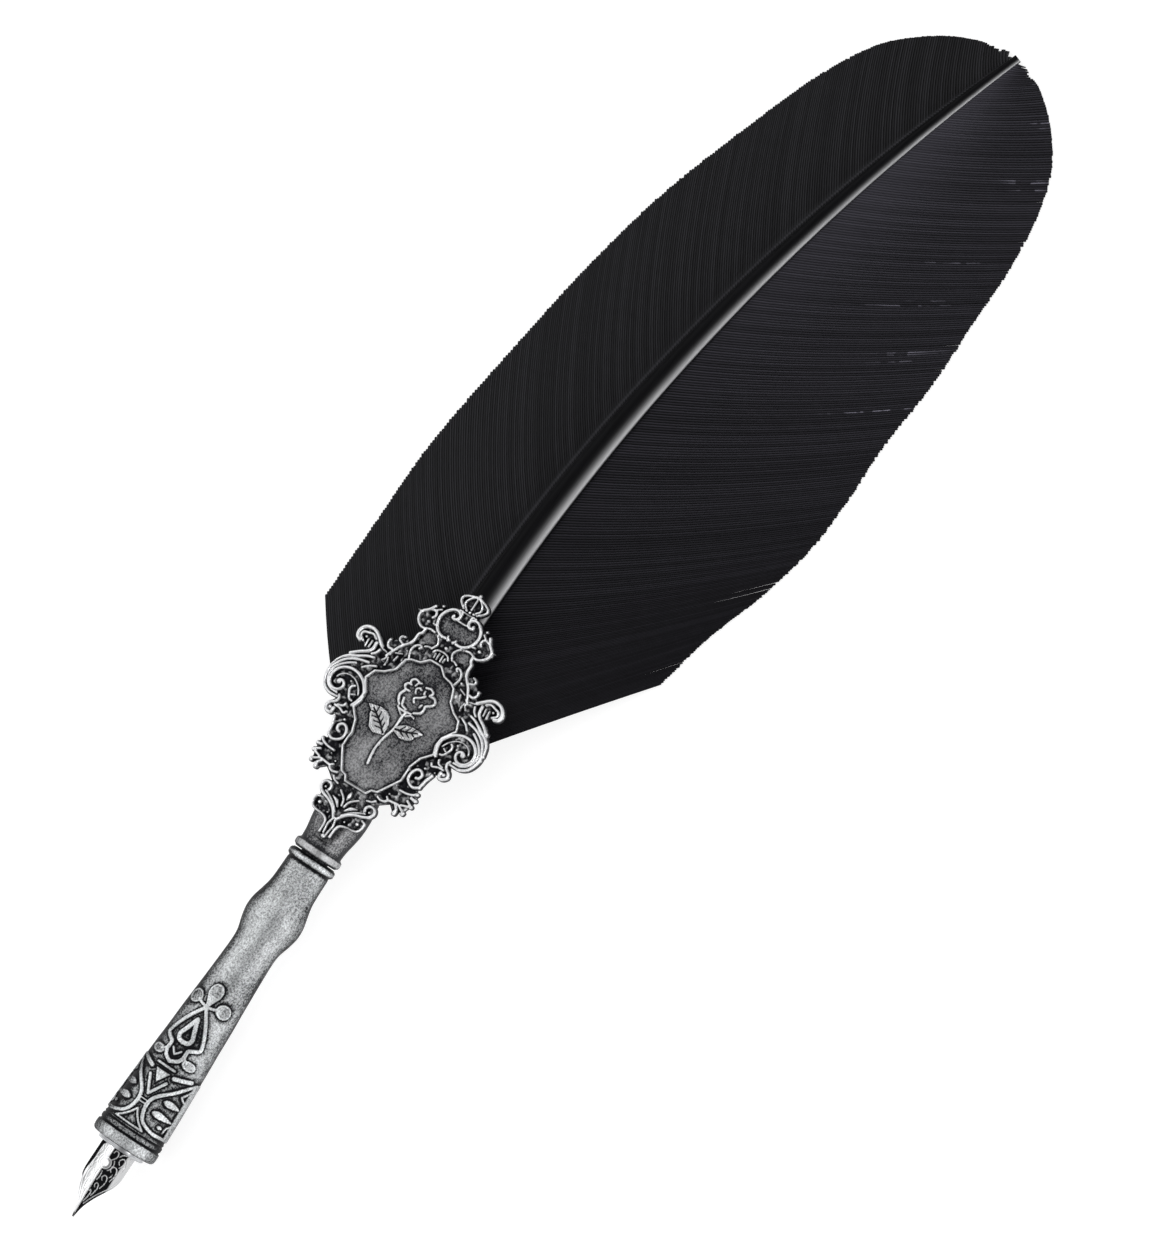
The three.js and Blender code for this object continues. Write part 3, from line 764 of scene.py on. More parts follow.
def make_neck(columns=120):
    """The neck casting: the top is flat under the crest, and the socket is open at the back."""
    flare = smooth_line([(83.3, 4.36), (85, 4.5), (87, 4.85), (89.5, 5.15), (92.5, 5.1), (95.6, 4.7)], 0.4)
    profile = np.array([
        (70.5, 2.9), (81.05, 2.9), (81.05, 4.4), (81.2, 4.5), (81.4, 4.8), (81.6, 4.93), (82.05, 4.97),
        (82.5, 4.93), (82.7, 4.8), (82.85, 4.55), (83, 4.4), *flare, (96.1, 4.35), (96.4, 3.95), (96.4, 3.5),
        (84, 3.5),
    ])
    xs, radius = profile.T
    points, faces = turned(xs, np.repeat(radius[:, None], columns, axis=1))
    x = points[:, 0]
    points[:, 2] = np.minimum(points[:, 2], CREST_BACK - SEAT_GAP + 2 * (1 - ease((x - 83.9) / 0.7)))
    ring = ease((x - 81.25) / 0.3) * ease((82.8 - x) / 0.3)
    dark = 0.57 - 0.72 * ring + 0.35 * bell(x, 81.1, 0.25) + 0.35 * bell(x, 83.1, 0.35)
    add_piece("neck_casting", points, faces, NECK_PEWTER, "neck_socket", marks={"dark": dark})


# ---- Crest ----
# Points are [distance along the pen, distance out from the crest's own middle line]. Apart from the
# rose, one half is drawn. Each stroke starts with its half-width, or with its half-widths from end to
# end, and each ball with its radius.
CREST_START = 84.6
CREST_STEP = 0.125
CREST_SET = {"skew": 0.045, "turn": -0.003, "offset": -0.55, "lean": 0.45, "lean_from": 117, "lean_over": 9}
GROUND = 1.45
FIELD = 1.78
RIDGE = 0.85
PLATE_INSET = 0.2  # the plate's edge lies this far inside CREST_HALF, so that strokes stand out of it
EDGE_ROUND = 0.35
LUMP_RISE = 0.16

CREST_HALF = [
    (84.6, 0.3), (85.4, 1), (87.8, 1.4), (88.7, 2.6), (89, 4.5), (90.4, 5.4), (92, 5.3), (93.8, 5.9),
    (95, 4.9), (96.6, 7.1), (95.5, 8.4), (97, 10.5), (98.4, 11), (100.9, 11.1), (101.7, 10.3),
    (105.8, 11.4), (105.8, 12.7), (106.8, 13.7), (108.2, 13.4), (108.9, 12.9), (109.4, 15), (110.5, 16.7),
    (112.2, 17.3), (114.1, 17.2), (115.9, 16.3), (117.8, 14.4), (119.2, 13.4), (120.2, 14.5), (121.2, 16),
    (122.4, 16), (123.6, 14.6), (123.7, 13), (122.9, 11.6), (122.1, 10.5), (123.6, 9.6), (124.8, 8.1),
    (125.2, 7.1), (124.5, 6.2), (127.6, 5.3), (128.4, 5), (128.5, 6.4), (129.4, 7.4), (131, 8.4),
    (132.2, 6.7), (133.6, 4.8), (134.3, 3.5), (134.3, 2), (135.8, 2.3), (137.1, 2.7), (138.1, 1.8),
    (139.3, 0.3),
]
FIELD_HALF = [
    (96.3, 2.3), (97.3, 2.9), (97.6, 4), (100, 5.5), (101.8, 6.6), (104.8, 6.5), (107.1, 7.3), (109, 9),
    (110.8, 8.4), (112.5, 8.6), (114.9, 10.2), (116.8, 9.4), (117.6, 7.8), (119, 6.2), (121.5, 5.4),
    (122.1, 4.5), (122.5, 2.7), (123.8, 1.3),
]

PALMETTE = [
    ([0.3, 0.25], [(85.8, 1.1), (87.7, 1.2), (88.5, 1.7), (88.9, 2.8), (89, 4), (89.4, 5), (90.3, 5.4),
        (91.2, 5.3), (91.5, 4.7)]),
    (0.25, [(86, 0.35), (88, 0.55), (89.4, 0.15)]),
    (0.35, [(89.2, 0.25), (90.7, 1.4), (91.7, 2.9), (92.2, 4.4), (92.8, 5.4), (93.7, 5.8), (94.5, 5.4),
        (94.6, 4.5), (94, 3.9), (93.3, 4)]),
    (0.22, [(90.4, 0.7), (91.6, 1.9), (92.5, 3.4), (92.9, 4.4)]),
    ([0.2, 0.42, 0.15], [(91.4, 0.8), (92.3, 1.6), (92.8, 2.7)]),
    (0.25, [(92, 0.25), (93.3, 0.7), (94.4, 2)]),
    ([0.1, 0.45, 0.1], [(93.3, 0), (94.2, 0.02), (95.2, 0)]),
    (0.25, [(95.2, 3.3), (95.5, 4.2), (96, 4.7)]),
]
TUFT = [
    (0.28, [(96.9, 4.55), (96.65, 5.4), (96.9, 6.2), (97.4, 6.5), (97.8, 6.1)]),
    (0.3, [(97.4, 6.6), (97.5, 7.65), (97.6, 8.7), (97.2, 9.5), (96.7, 10.4)]),
    ([0.25, 0.5], [(97.5, 8.1), (96.6, 8.9), (95.8, 8.8)]),
    (0.3, [(97.8, 9.2), (98.3, 10.6), (98.6, 10.7), (99.1, 9.8)]),
    (0.35, [(99.9, 10.1), (99.8, 10.7)]),
    (0.3, [(100.1, 7.45), (100.2, 8.9), (100.6, 10.1), (101, 10.5)]),
]
LOWER_SCROLL = [
    (0.36, [(102.3, 10.2), (101.8, 9.2), (102.1, 8.2), (102.8, 7.5), (104, 7.4), (105, 7.95), (105.2, 8.8),
        (104.6, 9.4), (103.8, 9.2), (103.6, 8.7)]),
    (0.3, [(102.3, 10.2), (104, 10.5), (105.6, 11)]),
    ([0.42, 0.3], [(106.8, 12.1), (105.9, 12.2), (105.9, 13), (106.6, 13.6), (107.5, 13.3), (108, 12.6),
        (108.8, 12.2), (109.5, 12.5)]),
    (0.28, [(107.5, 12.2), (107.4, 11), (107, 10), (107.5, 9.6)]),
    (0.28, [(107.8, 11.7), (108.1, 10.8), (108.7, 10.5)]),
    (0.28, [(109.7, 10), (109.9, 10.6), (110.7, 11.1), (111.4, 11.4), (112.1, 11.3), (112.4, 10.9)]),
    (0.22, [(110.7, 10.6), (111, 10.1)]),
]
BIG_SCROLL_CENTRE = (111.5, 13.7)
LEAVES = [
    (0.34, [(109, 12.8), (109, 14.5), (109.7, 15.9), (111, 16.7), (112.6, 17), (114, 16.6), (115.3, 15.8),
        (116.4, 14.55), (117.1, 13), (117.5, 11.35)]),
    (0.3, [(109.6, 13.2), (109.65, 14.5), (110.4, 15.7), (111.9, 16.4), (113.4, 16.3), (114.6, 15.5),
        (115.5, 14.5), (116.2, 13.3)]),
    ([0.2, 0.42, 0.3], [(113.4, 17.2), (115.2, 16.6), (116.6, 15.4), (117.6, 13.6), (118.4, 12.2),
        (118.8, 10.9)]),
    (0.4, [(117.3, 15.3), (118.5, 13.8), (119.3, 12.6), (120.1, 12), (121.4, 11.9)]),
    (0.3, [(119.2, 11.7), (119.8, 11.05), (120.6, 10.7)]),
    (0.28, [(116.1, 11.8), (116.9, 11), (117.3, 10.3), (117.6, 9.7)]),
    (0.45, [(121.4, 10.7), (122.2, 11.6), (123, 12.6), (123.4, 13.7), (123.2, 14.9), (122.5, 15.7),
        (121.6, 16), (120.8, 15.8), (120.4, 15.1)]),
    (0.3, [(120.5, 14.5), (121.2, 15.3), (122, 15.1), (122.3, 14.2), (122.5, 13.2), (122, 12.4)]),
    (0.22, [(119.8, 13.6), (121.3, 13.6)]),
    (0.22, [(120, 12.9), (121.3, 12.8)]),
]
UPPER_SIDE = [
    (0.22, [(120.9, 9.4), (121.1, 10.4), (121.6, 10.9)]),
    (0.22, [(119.2, 9.4), (119.9, 8.9), (120.4, 9), (120.9, 8.5)]),
    (0.2, [(118.6, 8.5), (119.4, 8.4), (120.2, 8.6)]),
    (0.32, [(120.3, 9.1), (121.7, 8.4), (122.75, 7.85), (123.6, 7.2), (124.5, 6.4)]),
    (0.34, [(121.9, 8.7), (121.9, 9.5), (122.6, 10), (123.3, 9.9)]),
    (0.28, [(123.75, 7.5), (124.2, 8.4), (124.9, 8.3), (125.1, 7.7)]),
    (0.2, [(120.2, 7.4), (121.2, 7.1)]),
    (0.2, [(121.6, 7.8), (122.1, 6.6)]),
]
TOP_SHELL = [
    (0.38, [(124.6, 6.3), (125.5, 5.95), (126.9, 5.85), (127.5, 5.4), (128.5, 5.3)]),
    (0.28, [(122.2, 5.1), (123.5, 5.5), (124.6, 5.2), (125.2, 4.45), (125, 3.95), (124.6, 4.25)]),
    (0.26, [(125.5, 3.5), (125.8, 2.9), (125.8, 2.3)]),
    (0.26, [(126.1, 2.1), (127, 1.7), (127.9, 2.1), (128.4, 2.6)]),
    (0.3, [(128.5, 5.3), (128.8, 4.45), (128.7, 3.6)]),
    (0.24, [(125.4, 1.65), (126, 1.25), (126.2, 0.65), (126.3, 0)]),
    (0.2, [(124.5, 0.4), (125.7, 0.4)]),
    (0.2, [(124.6, 1), (125.4, 1.05)]),
    (0.25, [(128.6, 0.6), (129.4, 0.9)]),
]
CARTOUCHE = [
    (0.38, [(128.8, 1.2), (128.8, 2.2), (129.4, 3.3), (130.4, 4), (131.8, 4.3), (133.1, 3.9), (134.1, 3),
        (134.4, 2), (133.9, 1.1), (133.2, 1.1), (132.7, 1.6), (132.8, 2.2), (133.2, 2.2)]),
    (0.25, [(132.8, 1.2), (132.7, 0)]),
    (0.36, [(128.35, 5.6), (128.4, 6.4), (129, 7.3), (130, 7.85), (131, 7.75), (131.9, 6.8), (133, 6.1)]),
    (0.26, [(131.9, 6.8), (132.3, 5.8), (133, 4.8)]),
    (0.3, [(130.85, 5.4), (131.4, 5.1), (132.1, 5.3), (132.3, 5.9)]),
    ([0.3, 0.1], [(130.9, 7.8), (130.9, 8.6)]),
    (0.25, [(130, 4.6), (129.9, 4.2)]),
]
CROWN = [
    (0.2, [(134.75, 1.8), (134.65, 0)]),
    (0.3, [(135.6, 1.8), (136.1, 2.4), (136.8, 2.8), (137.4, 2.6), (137.9, 1.8), (138.2, 1), (138.4, 0.3)]),
    (0.24, [(135.6, 1.1), (136.4, 1.7), (137.2, 1.5), (137.9, 0.9), (138.3, 0.2)]),
    (0.24, [(135.8, 0), (138.4, 0)]),
    (0.22, [(134.2, 0.9), (134.8, 1.2)]),
]
CREST_BALLS = [
    (0.5, (96.5, 10.2)), (0.45, (95.7, 8.7)), (0.5, (98.4, 10.9)), (0.5, (99.8, 10.9)), (0.48, (101, 10.6)),
    (0.55, (85.4, 0)), (0.45, (90.5, 4.2)), (0.28, (91.2, 3.4)), (0.28, (89.6, 1.9)), (0.33, (93.5, 4.9)),
    (0.28, (98.5, 6.1)), (0.26, (99.4, 7.6)), (0.24, (100.1, 8.4)), (0.26, (104.3, 10.3)),
    (0.26, (104.9, 10.5)), (0.26, (105.5, 10.8)), (0.26, (106.2, 11.1)), (0.35, (106, 9.1)),
    (0.5, (106.7, 12.8)), (0.34, (108.8, 10.6)), (0.3, (112.8, 12)), (0.35, (121.45, 14.25)),
    (0.3, (123.4, 9.8)), (0.28, (121.2, 7.2)), (0.32, (123.1, 6.1)), (0.42, (127.2, 0)),
    (0.42, (129.85, 5.7)), (0.34, (130.9, 5.5)), (0.38, (133.7, 4.9)), (0.42, (138.85, 0)),
    (0.48, (128.8, 0.55)), (0.4, (135.2, 0)), (0.38, (135.25, 0.78)), (0.36, (135.35, 1.5)),
    (0.34, (135.7, 2.1)),
]

# Flat panes between the scrolls, less black than the rest of the ground: [outline, by how much].
WINDOWS = [
    ([(128.9, -1), (128.9, 1.2), (129.5, 3.2), (130.6, 3.9), (132, 4.1), (133.6, 3.2), (133.9, 1.8),
        (132.9, -1)], 0.08),
    ([(125.6, 2.4), (126.3, 4.8), (127.9, 5.2), (128.6, 4), (128.2, 2.6), (127, 1.9)], 0.06),
    ([(136.2, -1), (136.3, 1.5), (137.2, 1.6), (138.2, 0.8), (138.6, -1)], 0.06),
]

ROSE_STEM = [
    (101.3, 0.65), (103, 0.95), (104.6, 1.05), (106.5, 0.85), (108, 0.45), (109.5, 0.1), (112, 0.1),
    (113.2, -0.2),
]
# Each leaf is an outline and a midrib.
ROSE_LEAVES = [
    ([(107.4, 1.25), (106.85, 3.2), (107.4, 4.35), (108.4, 4.85), (109.45, 5.5), (110.25, 5.7), (111, 6.7),
        (111.25, 5.5), (111.5, 4.45), (111.3, 3), (110.7, 2.2), (109.3, 1.45)],
     [(107.6, 1.5), (109.1, 3.1), (110.8, 5.6)]),
    ([(109, 0.05), (108.9, -0.7), (108.45, -1.75), (108.7, -3.05), (109.2, -3.8), (109.85, -4), (111.1, -5),
        (111.25, -3.3), (111, -1.75), (110.45, -0.8), (109.7, 0)],
     [(109.4, -0.2), (109.9, -2.1), (110.8, -4.2)]),
]
ROSE_CENTRE = (116.5, -0.4)
ROSE_PETALS = [
    (0.28, [(113.9, 2), (114.6, 2.6), (115.6, 2.9), (116.6, 2.5)]),
    (0.26, [(113.6, 0.3), (114, 1.35), (115.3, 1.8)]),
    (0.28, [(113.7, -1.4), (114.3, -2.4), (115.2, -2.7), (115.9, -2.6), (116.5, -3.4), (117.3, -3.8),
        (118, -3.2), (118, -2.2)]),
    (0.26, [(118.1, -2.2), (118.7, -2.5), (119.2, -1.8), (119, -0.8)]),
    (0.26, [(116.9, 1.7), (116.9, 2.5), (117.5, 3.05), (118.1, 2.6), (118.1, 2.1)]),
    (0.26, [(118.2, 2.3), (118.9, 2.4), (119.4, 1.7), (119.2, 0.9)]),
    (0.2, [(118.3, 1.2), (118.9, 1), (119.3, 0.4)]),
    (0.24, [(115.5, -0.3), (116.2, 0.05), (116.9, -1), (117.5, -1.5)]),
    (0.2, [(117.1, 0.4), (117.9, 0.7), (118.4, 0.1)]),
    (0.2, [(117.7, -1.1), (118.3, -1)]),
    (0.2, [(115.2, -1.7), (115.8, -1.9)]),
    (0.2, [(112.3, 0.5), (112.9, 1.3), (113.4, 1.9)]),
    (0.2, [(112.4, -0.4), (113, -1.2), (112.9, -1.9)]),
    (0.24, [(113.2, 1.6), (113.1, 0.4), (113.3, -1)]),
]


def crest_ground(u, v):
    """The plate under the ornament: sunk round the field, and humped under the two big scrolls."""
    depth = depth_in(both_sides([*FIELD_HALF, (123.9, 0)]), u, v)
    swell = 0.16 * ease(depth / 7)
    hump = 0.75 * np.exp(-(((u - 112.6) ** 2 + (abs(v) - 13.4) ** 2) / 3.2**2))
    return np.where(depth > 0, FIELD + swell, GROUND + hump), depth


def draw_crest(relief):
    for group in (PALMETTE, TUFT, LOWER_SCROLL, LEAVES, UPPER_SIDE, TOP_SHELL, CARTOUCHE, CROWN):
        for width, points in group:
            relief.stroke(1.12 * np.asarray(width), points, RIDGE)
    for radius, centre in CREST_BALLS:
        relief.ball(radius, centre, 1.6 * radius)
    start = [(109, 9.45), (110.4, 8.9)]
    coil = spiral(BIG_SCROLL_CENTRE, (5.0, 0.5), (-85, 400))
    relief.stroke([0.42, 0.42, 0.36], [*start, *coil], RIDGE)
    relief.stroke(0.22, spiral(BIG_SCROLL_CENTRE, (4.2, 1.3), (-94, 54), 16), 0.6)
    relief.ball(0.62, (BIG_SCROLL_CENTRE[0] + 0.2, BIG_SCROLL_CENTRE[1] + 0.2), 1.0)
    for place in smooth_line(CARTOUCHE[0][1], 0.5)[2:22:2]:  # nicks inside the cartouche's border
        inward = (131.3, 1.0) - place
        inward /= np.linalg.norm(inward)
        relief.stroke(0.12, [place + 0.4 * inward, place + 1.0 * inward], 0.13, cut=True)


def draw_frame_line(relief):
    line = [(96.3, 0), *FIELD_HALF, (123.9, 0)]
    for ends in zip(line, line[1:]):
        relief.stroke(0.32, ends, 0.95, base=GROUND)


def draw_rose(relief):
    relief.stroke([0.3, 0.26, 0.3], ROSE_STEM, 0.4)
    for outline, midrib in ROSE_LEAVES:
        relief.fill(outline, 0.3, bevel=0.35)
        rib = smooth_line(midrib, 0.3)
        relief.stroke([0.22, 0.15], midrib, 0.28, cut=True)
        heading = rib[-1] - rib[0]
        heading /= np.linalg.norm(heading)
        side = np.array([-heading[1], heading[0]])
        for k in range(3, len(rib) - 3, 4):  # side veins
            for turn in (-1, 1):
                tip = rib[k] + heading + turn * side
                relief.stroke([0.18, 0.1], [rib[k], tip], 0.18, cut=True)
        for ends in zip(outline, [*outline[1:], outline[0]]):
            relief.stroke(0.16, ends, 0.36)
    for width, points in ROSE_PETALS:
        relief.stroke(width, points, 0.42)
    relief.ball(0.26, (118.2, -0.15), 0.4)


def draw_panes(u, v):
    """Where the windows are, and how much less black each is."""
    pane, tone = np.zeros(u.shape), np.zeros(u.shape)
    for outline, lighter in WINDOWS:
        share = ease(depth_in(outline, u, abs(v)) / 0.2)
        pane, tone = np.maximum(pane, share), np.maximum(tone, lighter * share)
    return pane, tone


def make_crest():
    us = np.arange(83.8, 140.2, CREST_STEP)
    vs = np.arange(-148, 149) * CREST_STEP
    u, v = np.meshgrid(us, vs, indexing="ij")
    ground, field_depth = crest_ground(u, v)
    relief = Relief(us, vs, ground)
    draw_crest(relief)
    draw_frame_line(relief)
    relief.mirror()
    bloom = np.hypot((u - ROSE_CENTRE[0]) / 2.9, (v - ROSE_CENTRE[1]) / 3.0)
    relief.ground = relief.ground + 0.24 * ease(1.6 - 1.6 * bloom)
    relief.height = np.maximum(relief.height, relief.ground)
    draw_rose(relief)

    edge = np.maximum(depth_in(both_sides(CREST_HALF), u, v) - PLATE_INSET, relief.inside)
    height = relief.height - relief.cut - EDGE_ROUND * np.clip(1 - edge / EDGE_ROUND, 0, 1) ** 2
    underside = 0.3 * np.clip(1 - edge / 0.4, 0, 1) ** 2
    pane, window = draw_panes(u, v)
    lumps = blurred(np.random.default_rng(11).normal(0, 1, height.shape), 2.2)
    lumps *= (1 - pane) / lumps.std()
    outside_field = ease(-field_depth / 0.3) * (1 - ease((relief.height - relief.ground) / 0.2))
    height += LUMP_RISE * lumps * outside_field

    # The patina is black in hollows, worn off the ridges and grey in the field. The rim is lighter: wear,
    # and a painted highlight.
    hollow = blurred(height, 3.0) - height
    rise = height - relief.ground
    in_field = ease(field_depth / 0.3)
    # Lighter along the rim: wear, and a painted highlight.
    worn_rim_highlight = 0.5 * (1 - ease(edge / EDGE_ROUND))
    low_dark = 0.85 - worn_rim_highlight - np.maximum(window, 0.24 * ease(lumps))
    frame_dark = low_dark * (1 - ease((rise - 0.2) / 0.46))
    shade = np.exp(-np.clip(-relief.inside, 0, None) / 0.25)
    field_tone = 0.7 + 0.08 * ease((u - 98) / 24) - 0.06 * ease(3.2 - 3 * bloom)
    leaf = np.max([ease((depth_in(outline, u, v) - 0.2) / 0.3) for outline, _ in ROSE_LEAVES], axis=0)
    field_dark = (field_tone + 0.25 * shade) * (1 - ease(rise / 0.2)) + 0.42 * leaf
    dark = frame_dark * (1 - in_field) + field_dark * in_field
    dark = np.clip(dark + 0.9 * hollow + 4 * relief.cut, -0.4, 1)

    shape, faces = relief_shell(us, vs, edge, height, underside)
    along, out, z, is_top = shape.T
    x = along - CREST_SET["skew"] * out
    y = out + CREST_SET["offset"] + CREST_SET["turn"] * (along - CREST_START)
    y += CREST_SET["lean"] * ease((along - CREST_SET["lean_from"]) / CREST_SET["lean_over"])
    patina = np.where(is_top > 0.5, sampled(us, vs, dark, along, out), 0.55)
    add_piece("crest_casting", np.stack([x, y, CREST_BACK + z], axis=1), faces, CREST_PEWTER,
              "crest", marks={"dark": patina}, sharp=60)


# ---- Feather ----
PEN_LENGTH = 278.0
SHAFT = {"start": 85, "straight_to": 132, "bend": 26.0, "drop": 4.9}
SHAFT_R = {"quill": 2.65, "lost": 1.85, "from": 140, "power": 1.3}
BARB_PITCH = 0.61
BARB_THICK = 0.17
BARB_TILT = math.radians(11)
LOOSE_FROM = 271.0  # the last barbs, at the tip, end unevenly
# Places along a barb as shares of its length: close together by the shaft, for the painted highlight line
# there.
STATIONS = np.concatenate([[0, 0.03, 0.045, 0.06], np.linspace(0.1, 0.996, 10), [1]])
VANE = {"edge_z": 0.3, "root_lift": 0.35, "fall": 1.5, "bow": 0.25, "left_camber": 0.7, "right_camber": 1.1}

# A barb leaves the shaft at the first number and ends at the other two on the vane's edge.
LEFT_BARBS = [
    (98.4, 123, 28.2), (114, 140, 28), (131, 158, 27.5), (150, 180.4, 24.6), (170, 202, 21.2),
    (190, 221, 16.9), (210, 240, 10.5), (228, 255.2, 4.6), (244, 266.4, -1.8), (258, 273.5, -9.9),
    (268, 276.9, -16.4), (275.5, 278.3, -22), (277.6, 278.5, -25.2),
]
RIGHT_BARBS = [
    (98.4, 144, -35.5), (112, 156, -38.2), (128, 168, -42.2), (145, 180, -45), (160, 192, -45.8),
    (176, 205, -45.8), (192, 219, -47), (208, 232, -46.9), (223, 244, -47), (237, 255, -45.9),
    (249, 264, -43.2), (259, 270.4, -38.8), (267, 274.8, -34), (273, 276.8, -30.6), (277.4, 277.8, -28.2),
]
SPLIT_SPREAD = 2.0
LEFT_SPLITS = [0, 0.171, 0.249, 0.513, 1]
RIGHT_SPLITS = [0, 0.156, 0.446, 0.669, 1]
# Smaller partings: [place of the root, how far the barbs lean apart, over what length].
LEFT_NOTCHES = [(163.2, 0.02, 1.5), (236.4, 0.04, 1.5)]
RIGHT_NOTCHES = [(105.1, 0.04, 1.5), (133.3, 0.06, 1.2), (202.6, 0.07, 1.5), (214.2, 0.06, 1.5),
                 (223.3, 0.07, 1.2), (231.2, 0.07, 1.2)]


def shaft_line(x):
    t = np.clip((x - SHAFT["straight_to"]) / (PEN_LENGTH - SHAFT["straight_to"]), 0, None)
    return -SHAFT["bend"] * t**2, AXIS_Z - SHAFT["drop"] * t**2


def shaft_radius(x):
    t = np.clip((x - SHAFT_R["from"]) / (PEN_LENGTH - SHAFT_R["from"]), 0, None)
    return SHAFT_R["quill"] - SHAFT_R["lost"] * t ** SHAFT_R["power"]


def make_shaft(columns=64, rows=160):
    """A round quill that turns into a squarer rachis with a shallow groove along its top."""
    xs = np.linspace(SHAFT["start"], PEN_LENGTH + 0.4, rows)
    x = xs[:, None]
    cy, cz = shaft_line(x)
    core = shaft_radius(x)
    turn = np.arctan2(shaft_line(x + 0.5)[0] - cy, 0.5)
    angle = 2 * np.pi * np.arange(columns)[None, :] / columns
    square = 2 + 1.1 * ease((x - 100) / 30)
    scale = (abs(np.cos(angle)) ** square + abs(np.sin(angle)) ** square) ** (-1 / square)
    radius = core * np.where(x < 85.5, 0.85, 1) * scale
    groove = 1 - 0.05 * bell(np.cos(angle), 0, 0.2) * (np.sin(angle) > 0) * ease((x - 110) / 20)
    out = radius * np.cos(angle)
    rise = 0.92 * radius * groove * np.sin(angle)
    points = np.stack([x - out * np.sin(turn), cy + out * np.cos(turn), cz + rise], axis=2).reshape(-1, 3)
    # The streak is a painted highlight along the shaft's -Y side.
    side = np.clip(-out / core, 0, 1)
    streak = np.clip(1.5 * side**3.1, 0, 1) * (1 - ease((side - 0.9) / 0.09))
    streak *= ease((x - 120) / 15) * ease(3 * np.sin(angle) + 1)
    k = np.arange(columns)
    caps = np.stack([k[::-1], k + (rows - 1) * columns])
    add_piece("feather_quill", points, [ring_faces(rows, columns), caps], QUILL, "feather_shaft",
              marks={"streak": streak})


def share_along(table, roots):
    """How far along the vane each root lies, as a column from 0 to 1."""
    return ((roots - table[0][0]) / (table[-1][0] - table[0][0]))[:, None]


def vane_points(table, side, roots, out):
    """Points of the barbs' middle lines: one row for each root, one column for each share out."""
    knots = smooth_line(table, 1.0)
    order = np.argsort(knots[:, 0])
    edge_x = np.interp(roots, knots[order, 0], knots[order, 1])[:, None]
    edge_y = np.interp(roots, knots[order, 0], knots[order, 2])[:, None]
    along = share_along(table, roots)
    root_x, inner = roots[:, None], np.clip(out, 0, 1)
    cy, cz = shaft_line(root_x)
    root_y = cy + side * 0.8 * shaft_radius(root_x)
    bow = VANE["bow"] * (1 if side > 0 else np.clip(5 * along, 0, 1))
    x = root_x + (edge_x - root_x) * ((1 - bow) * out + bow * out**2)
    y = root_y + (edge_y - root_y) * out
    root_z = cz + VANE["root_lift"]
    crown = VANE["left_camber"] if side > 0 else VANE["right_camber"]
    camber = crown * np.sin(np.pi * inner) * np.clip(1 - along, 0, 1) ** 0.5
    z = root_z + (VANE["edge_z"] - root_z) * inner ** VANE["fall"] + camber
    return np.stack([x, y, z], axis=2)


def barb_marks(side, share, along, roots):
    """How bright each barb's painted ridge highlight is, the painted highlight line and sheen by the shaft,
    and short painted glints on a few ragged stretches.
    """
    if side > 0:
        lit = 0.92 - 0.45 * np.exp(-share / 0.12) - 0.1 * along
        # The pale line by the shaft is a painted highlight.
        return lit, 0.09 * bell(share, 0.045, 0.012), np.zeros(share.shape)
    lit = 0.42 + 0.78 * ease((along - 0.05) / 0.65) * np.ones(share.shape)
    root_highlight = 0.058 * ease((roots[:, None] - 180) / 85) * bell(share, 0, 0.4)
    # A few barbs get painted glints along short stretches.
    fray = np.random.default_rng(5).random((4, len(roots), 1))
    chosen = fray[0] < 0.06 * ease((along - 0.3) / 0.2)
    stretch = bell(share - 0.65, 0.34 * fray[2], 0.05 + 0.1 * fray[3])
    return lit, root_highlight, chosen * (0.25 + 0.45 * fray[1]) * stretch


def make_barbs(name, table, side, roots, splay, rng, material, replaced):
    """One group of barbs. Each is a closed, flat, diamond-sectioned ribbon that thins to its tip."""
    count, stations = len(roots), len(STATIONS)
    loose = ease((roots - LOOSE_FROM) / (PEN_LENGTH - 1 - LOOSE_FROM))
    reach = (1 + rng.normal(0, 0.002, count) - loose * rng.uniform(0, 0.22, count))[:, None]
    share = STATIONS[None, :] * reach
    middle = vane_points(table, side, roots, share)
    step = vane_points(table, side, roots + BARB_PITCH, share) - middle
    middle[:, :, 0] += (splay + loose * rng.normal(0, 0.25, count))[:, None] * share**3
    middle[:, :, 2] += rng.normal(0, 0.025, count)[:, None] * share
    tangent = np.gradient(middle, axis=1)
    tangent /= np.linalg.norm(tangent, axis=2, keepdims=True)
    step -= (step * tangent).sum(axis=2, keepdims=True) * tangent
    spacing = np.linalg.norm(step, axis=2, keepdims=True)
    across = step / spacing
    normal = np.cross(tangent, across)
    normal *= np.sign(normal[:, :, 2:])
    thin = np.where(STATIONS < 1, 1, 0.7)[None, :, None]
    leaf = 0.6 * spacing * thin * (across * math.cos(BARB_TILT) + normal * math.sin(BARB_TILT))
    upright = BARB_THICK / 2 * np.sqrt(thin) * (normal * math.cos(BARB_TILT) - across * math.sin(BARB_TILT))
    points = np.stack([middle + leaf, middle + upright, middle - leaf, middle - upright], axis=2)
    ends = [[3, 2, 1, 0], [(stations - 1) * 4 + k for k in range(4)]]
    ribbon = np.vstack([ring_faces(stations, 4), ends])
    faces = (ribbon[None] + np.arange(count)[:, None, None] * stations * 4).reshape(-1, 4)
    lengths = np.cumsum(np.linalg.norm(np.diff(middle, axis=1, prepend=middle[:, :1]), axis=2), axis=1)
    tone = np.repeat(rng.uniform(0, 0.8, count), stations * 4)
    lit, root_highlight, frayed_glints = barb_marks(side, share, share_along(table, roots), roots)
    marks = {"along": np.repeat(lengths.ravel(), 4), "tone": tone, "glow": np.repeat(root_highlight.ravel(), 4),
             "ridge": lit[..., None] * [1, 0.1, 0, 0.1], "frayed_glints": frayed_glints[..., None] * [1, 0, 0, 0]}
    add_piece(name, points.reshape(-1, 3), [faces], material, replaced, marks=marks, sharp=20)


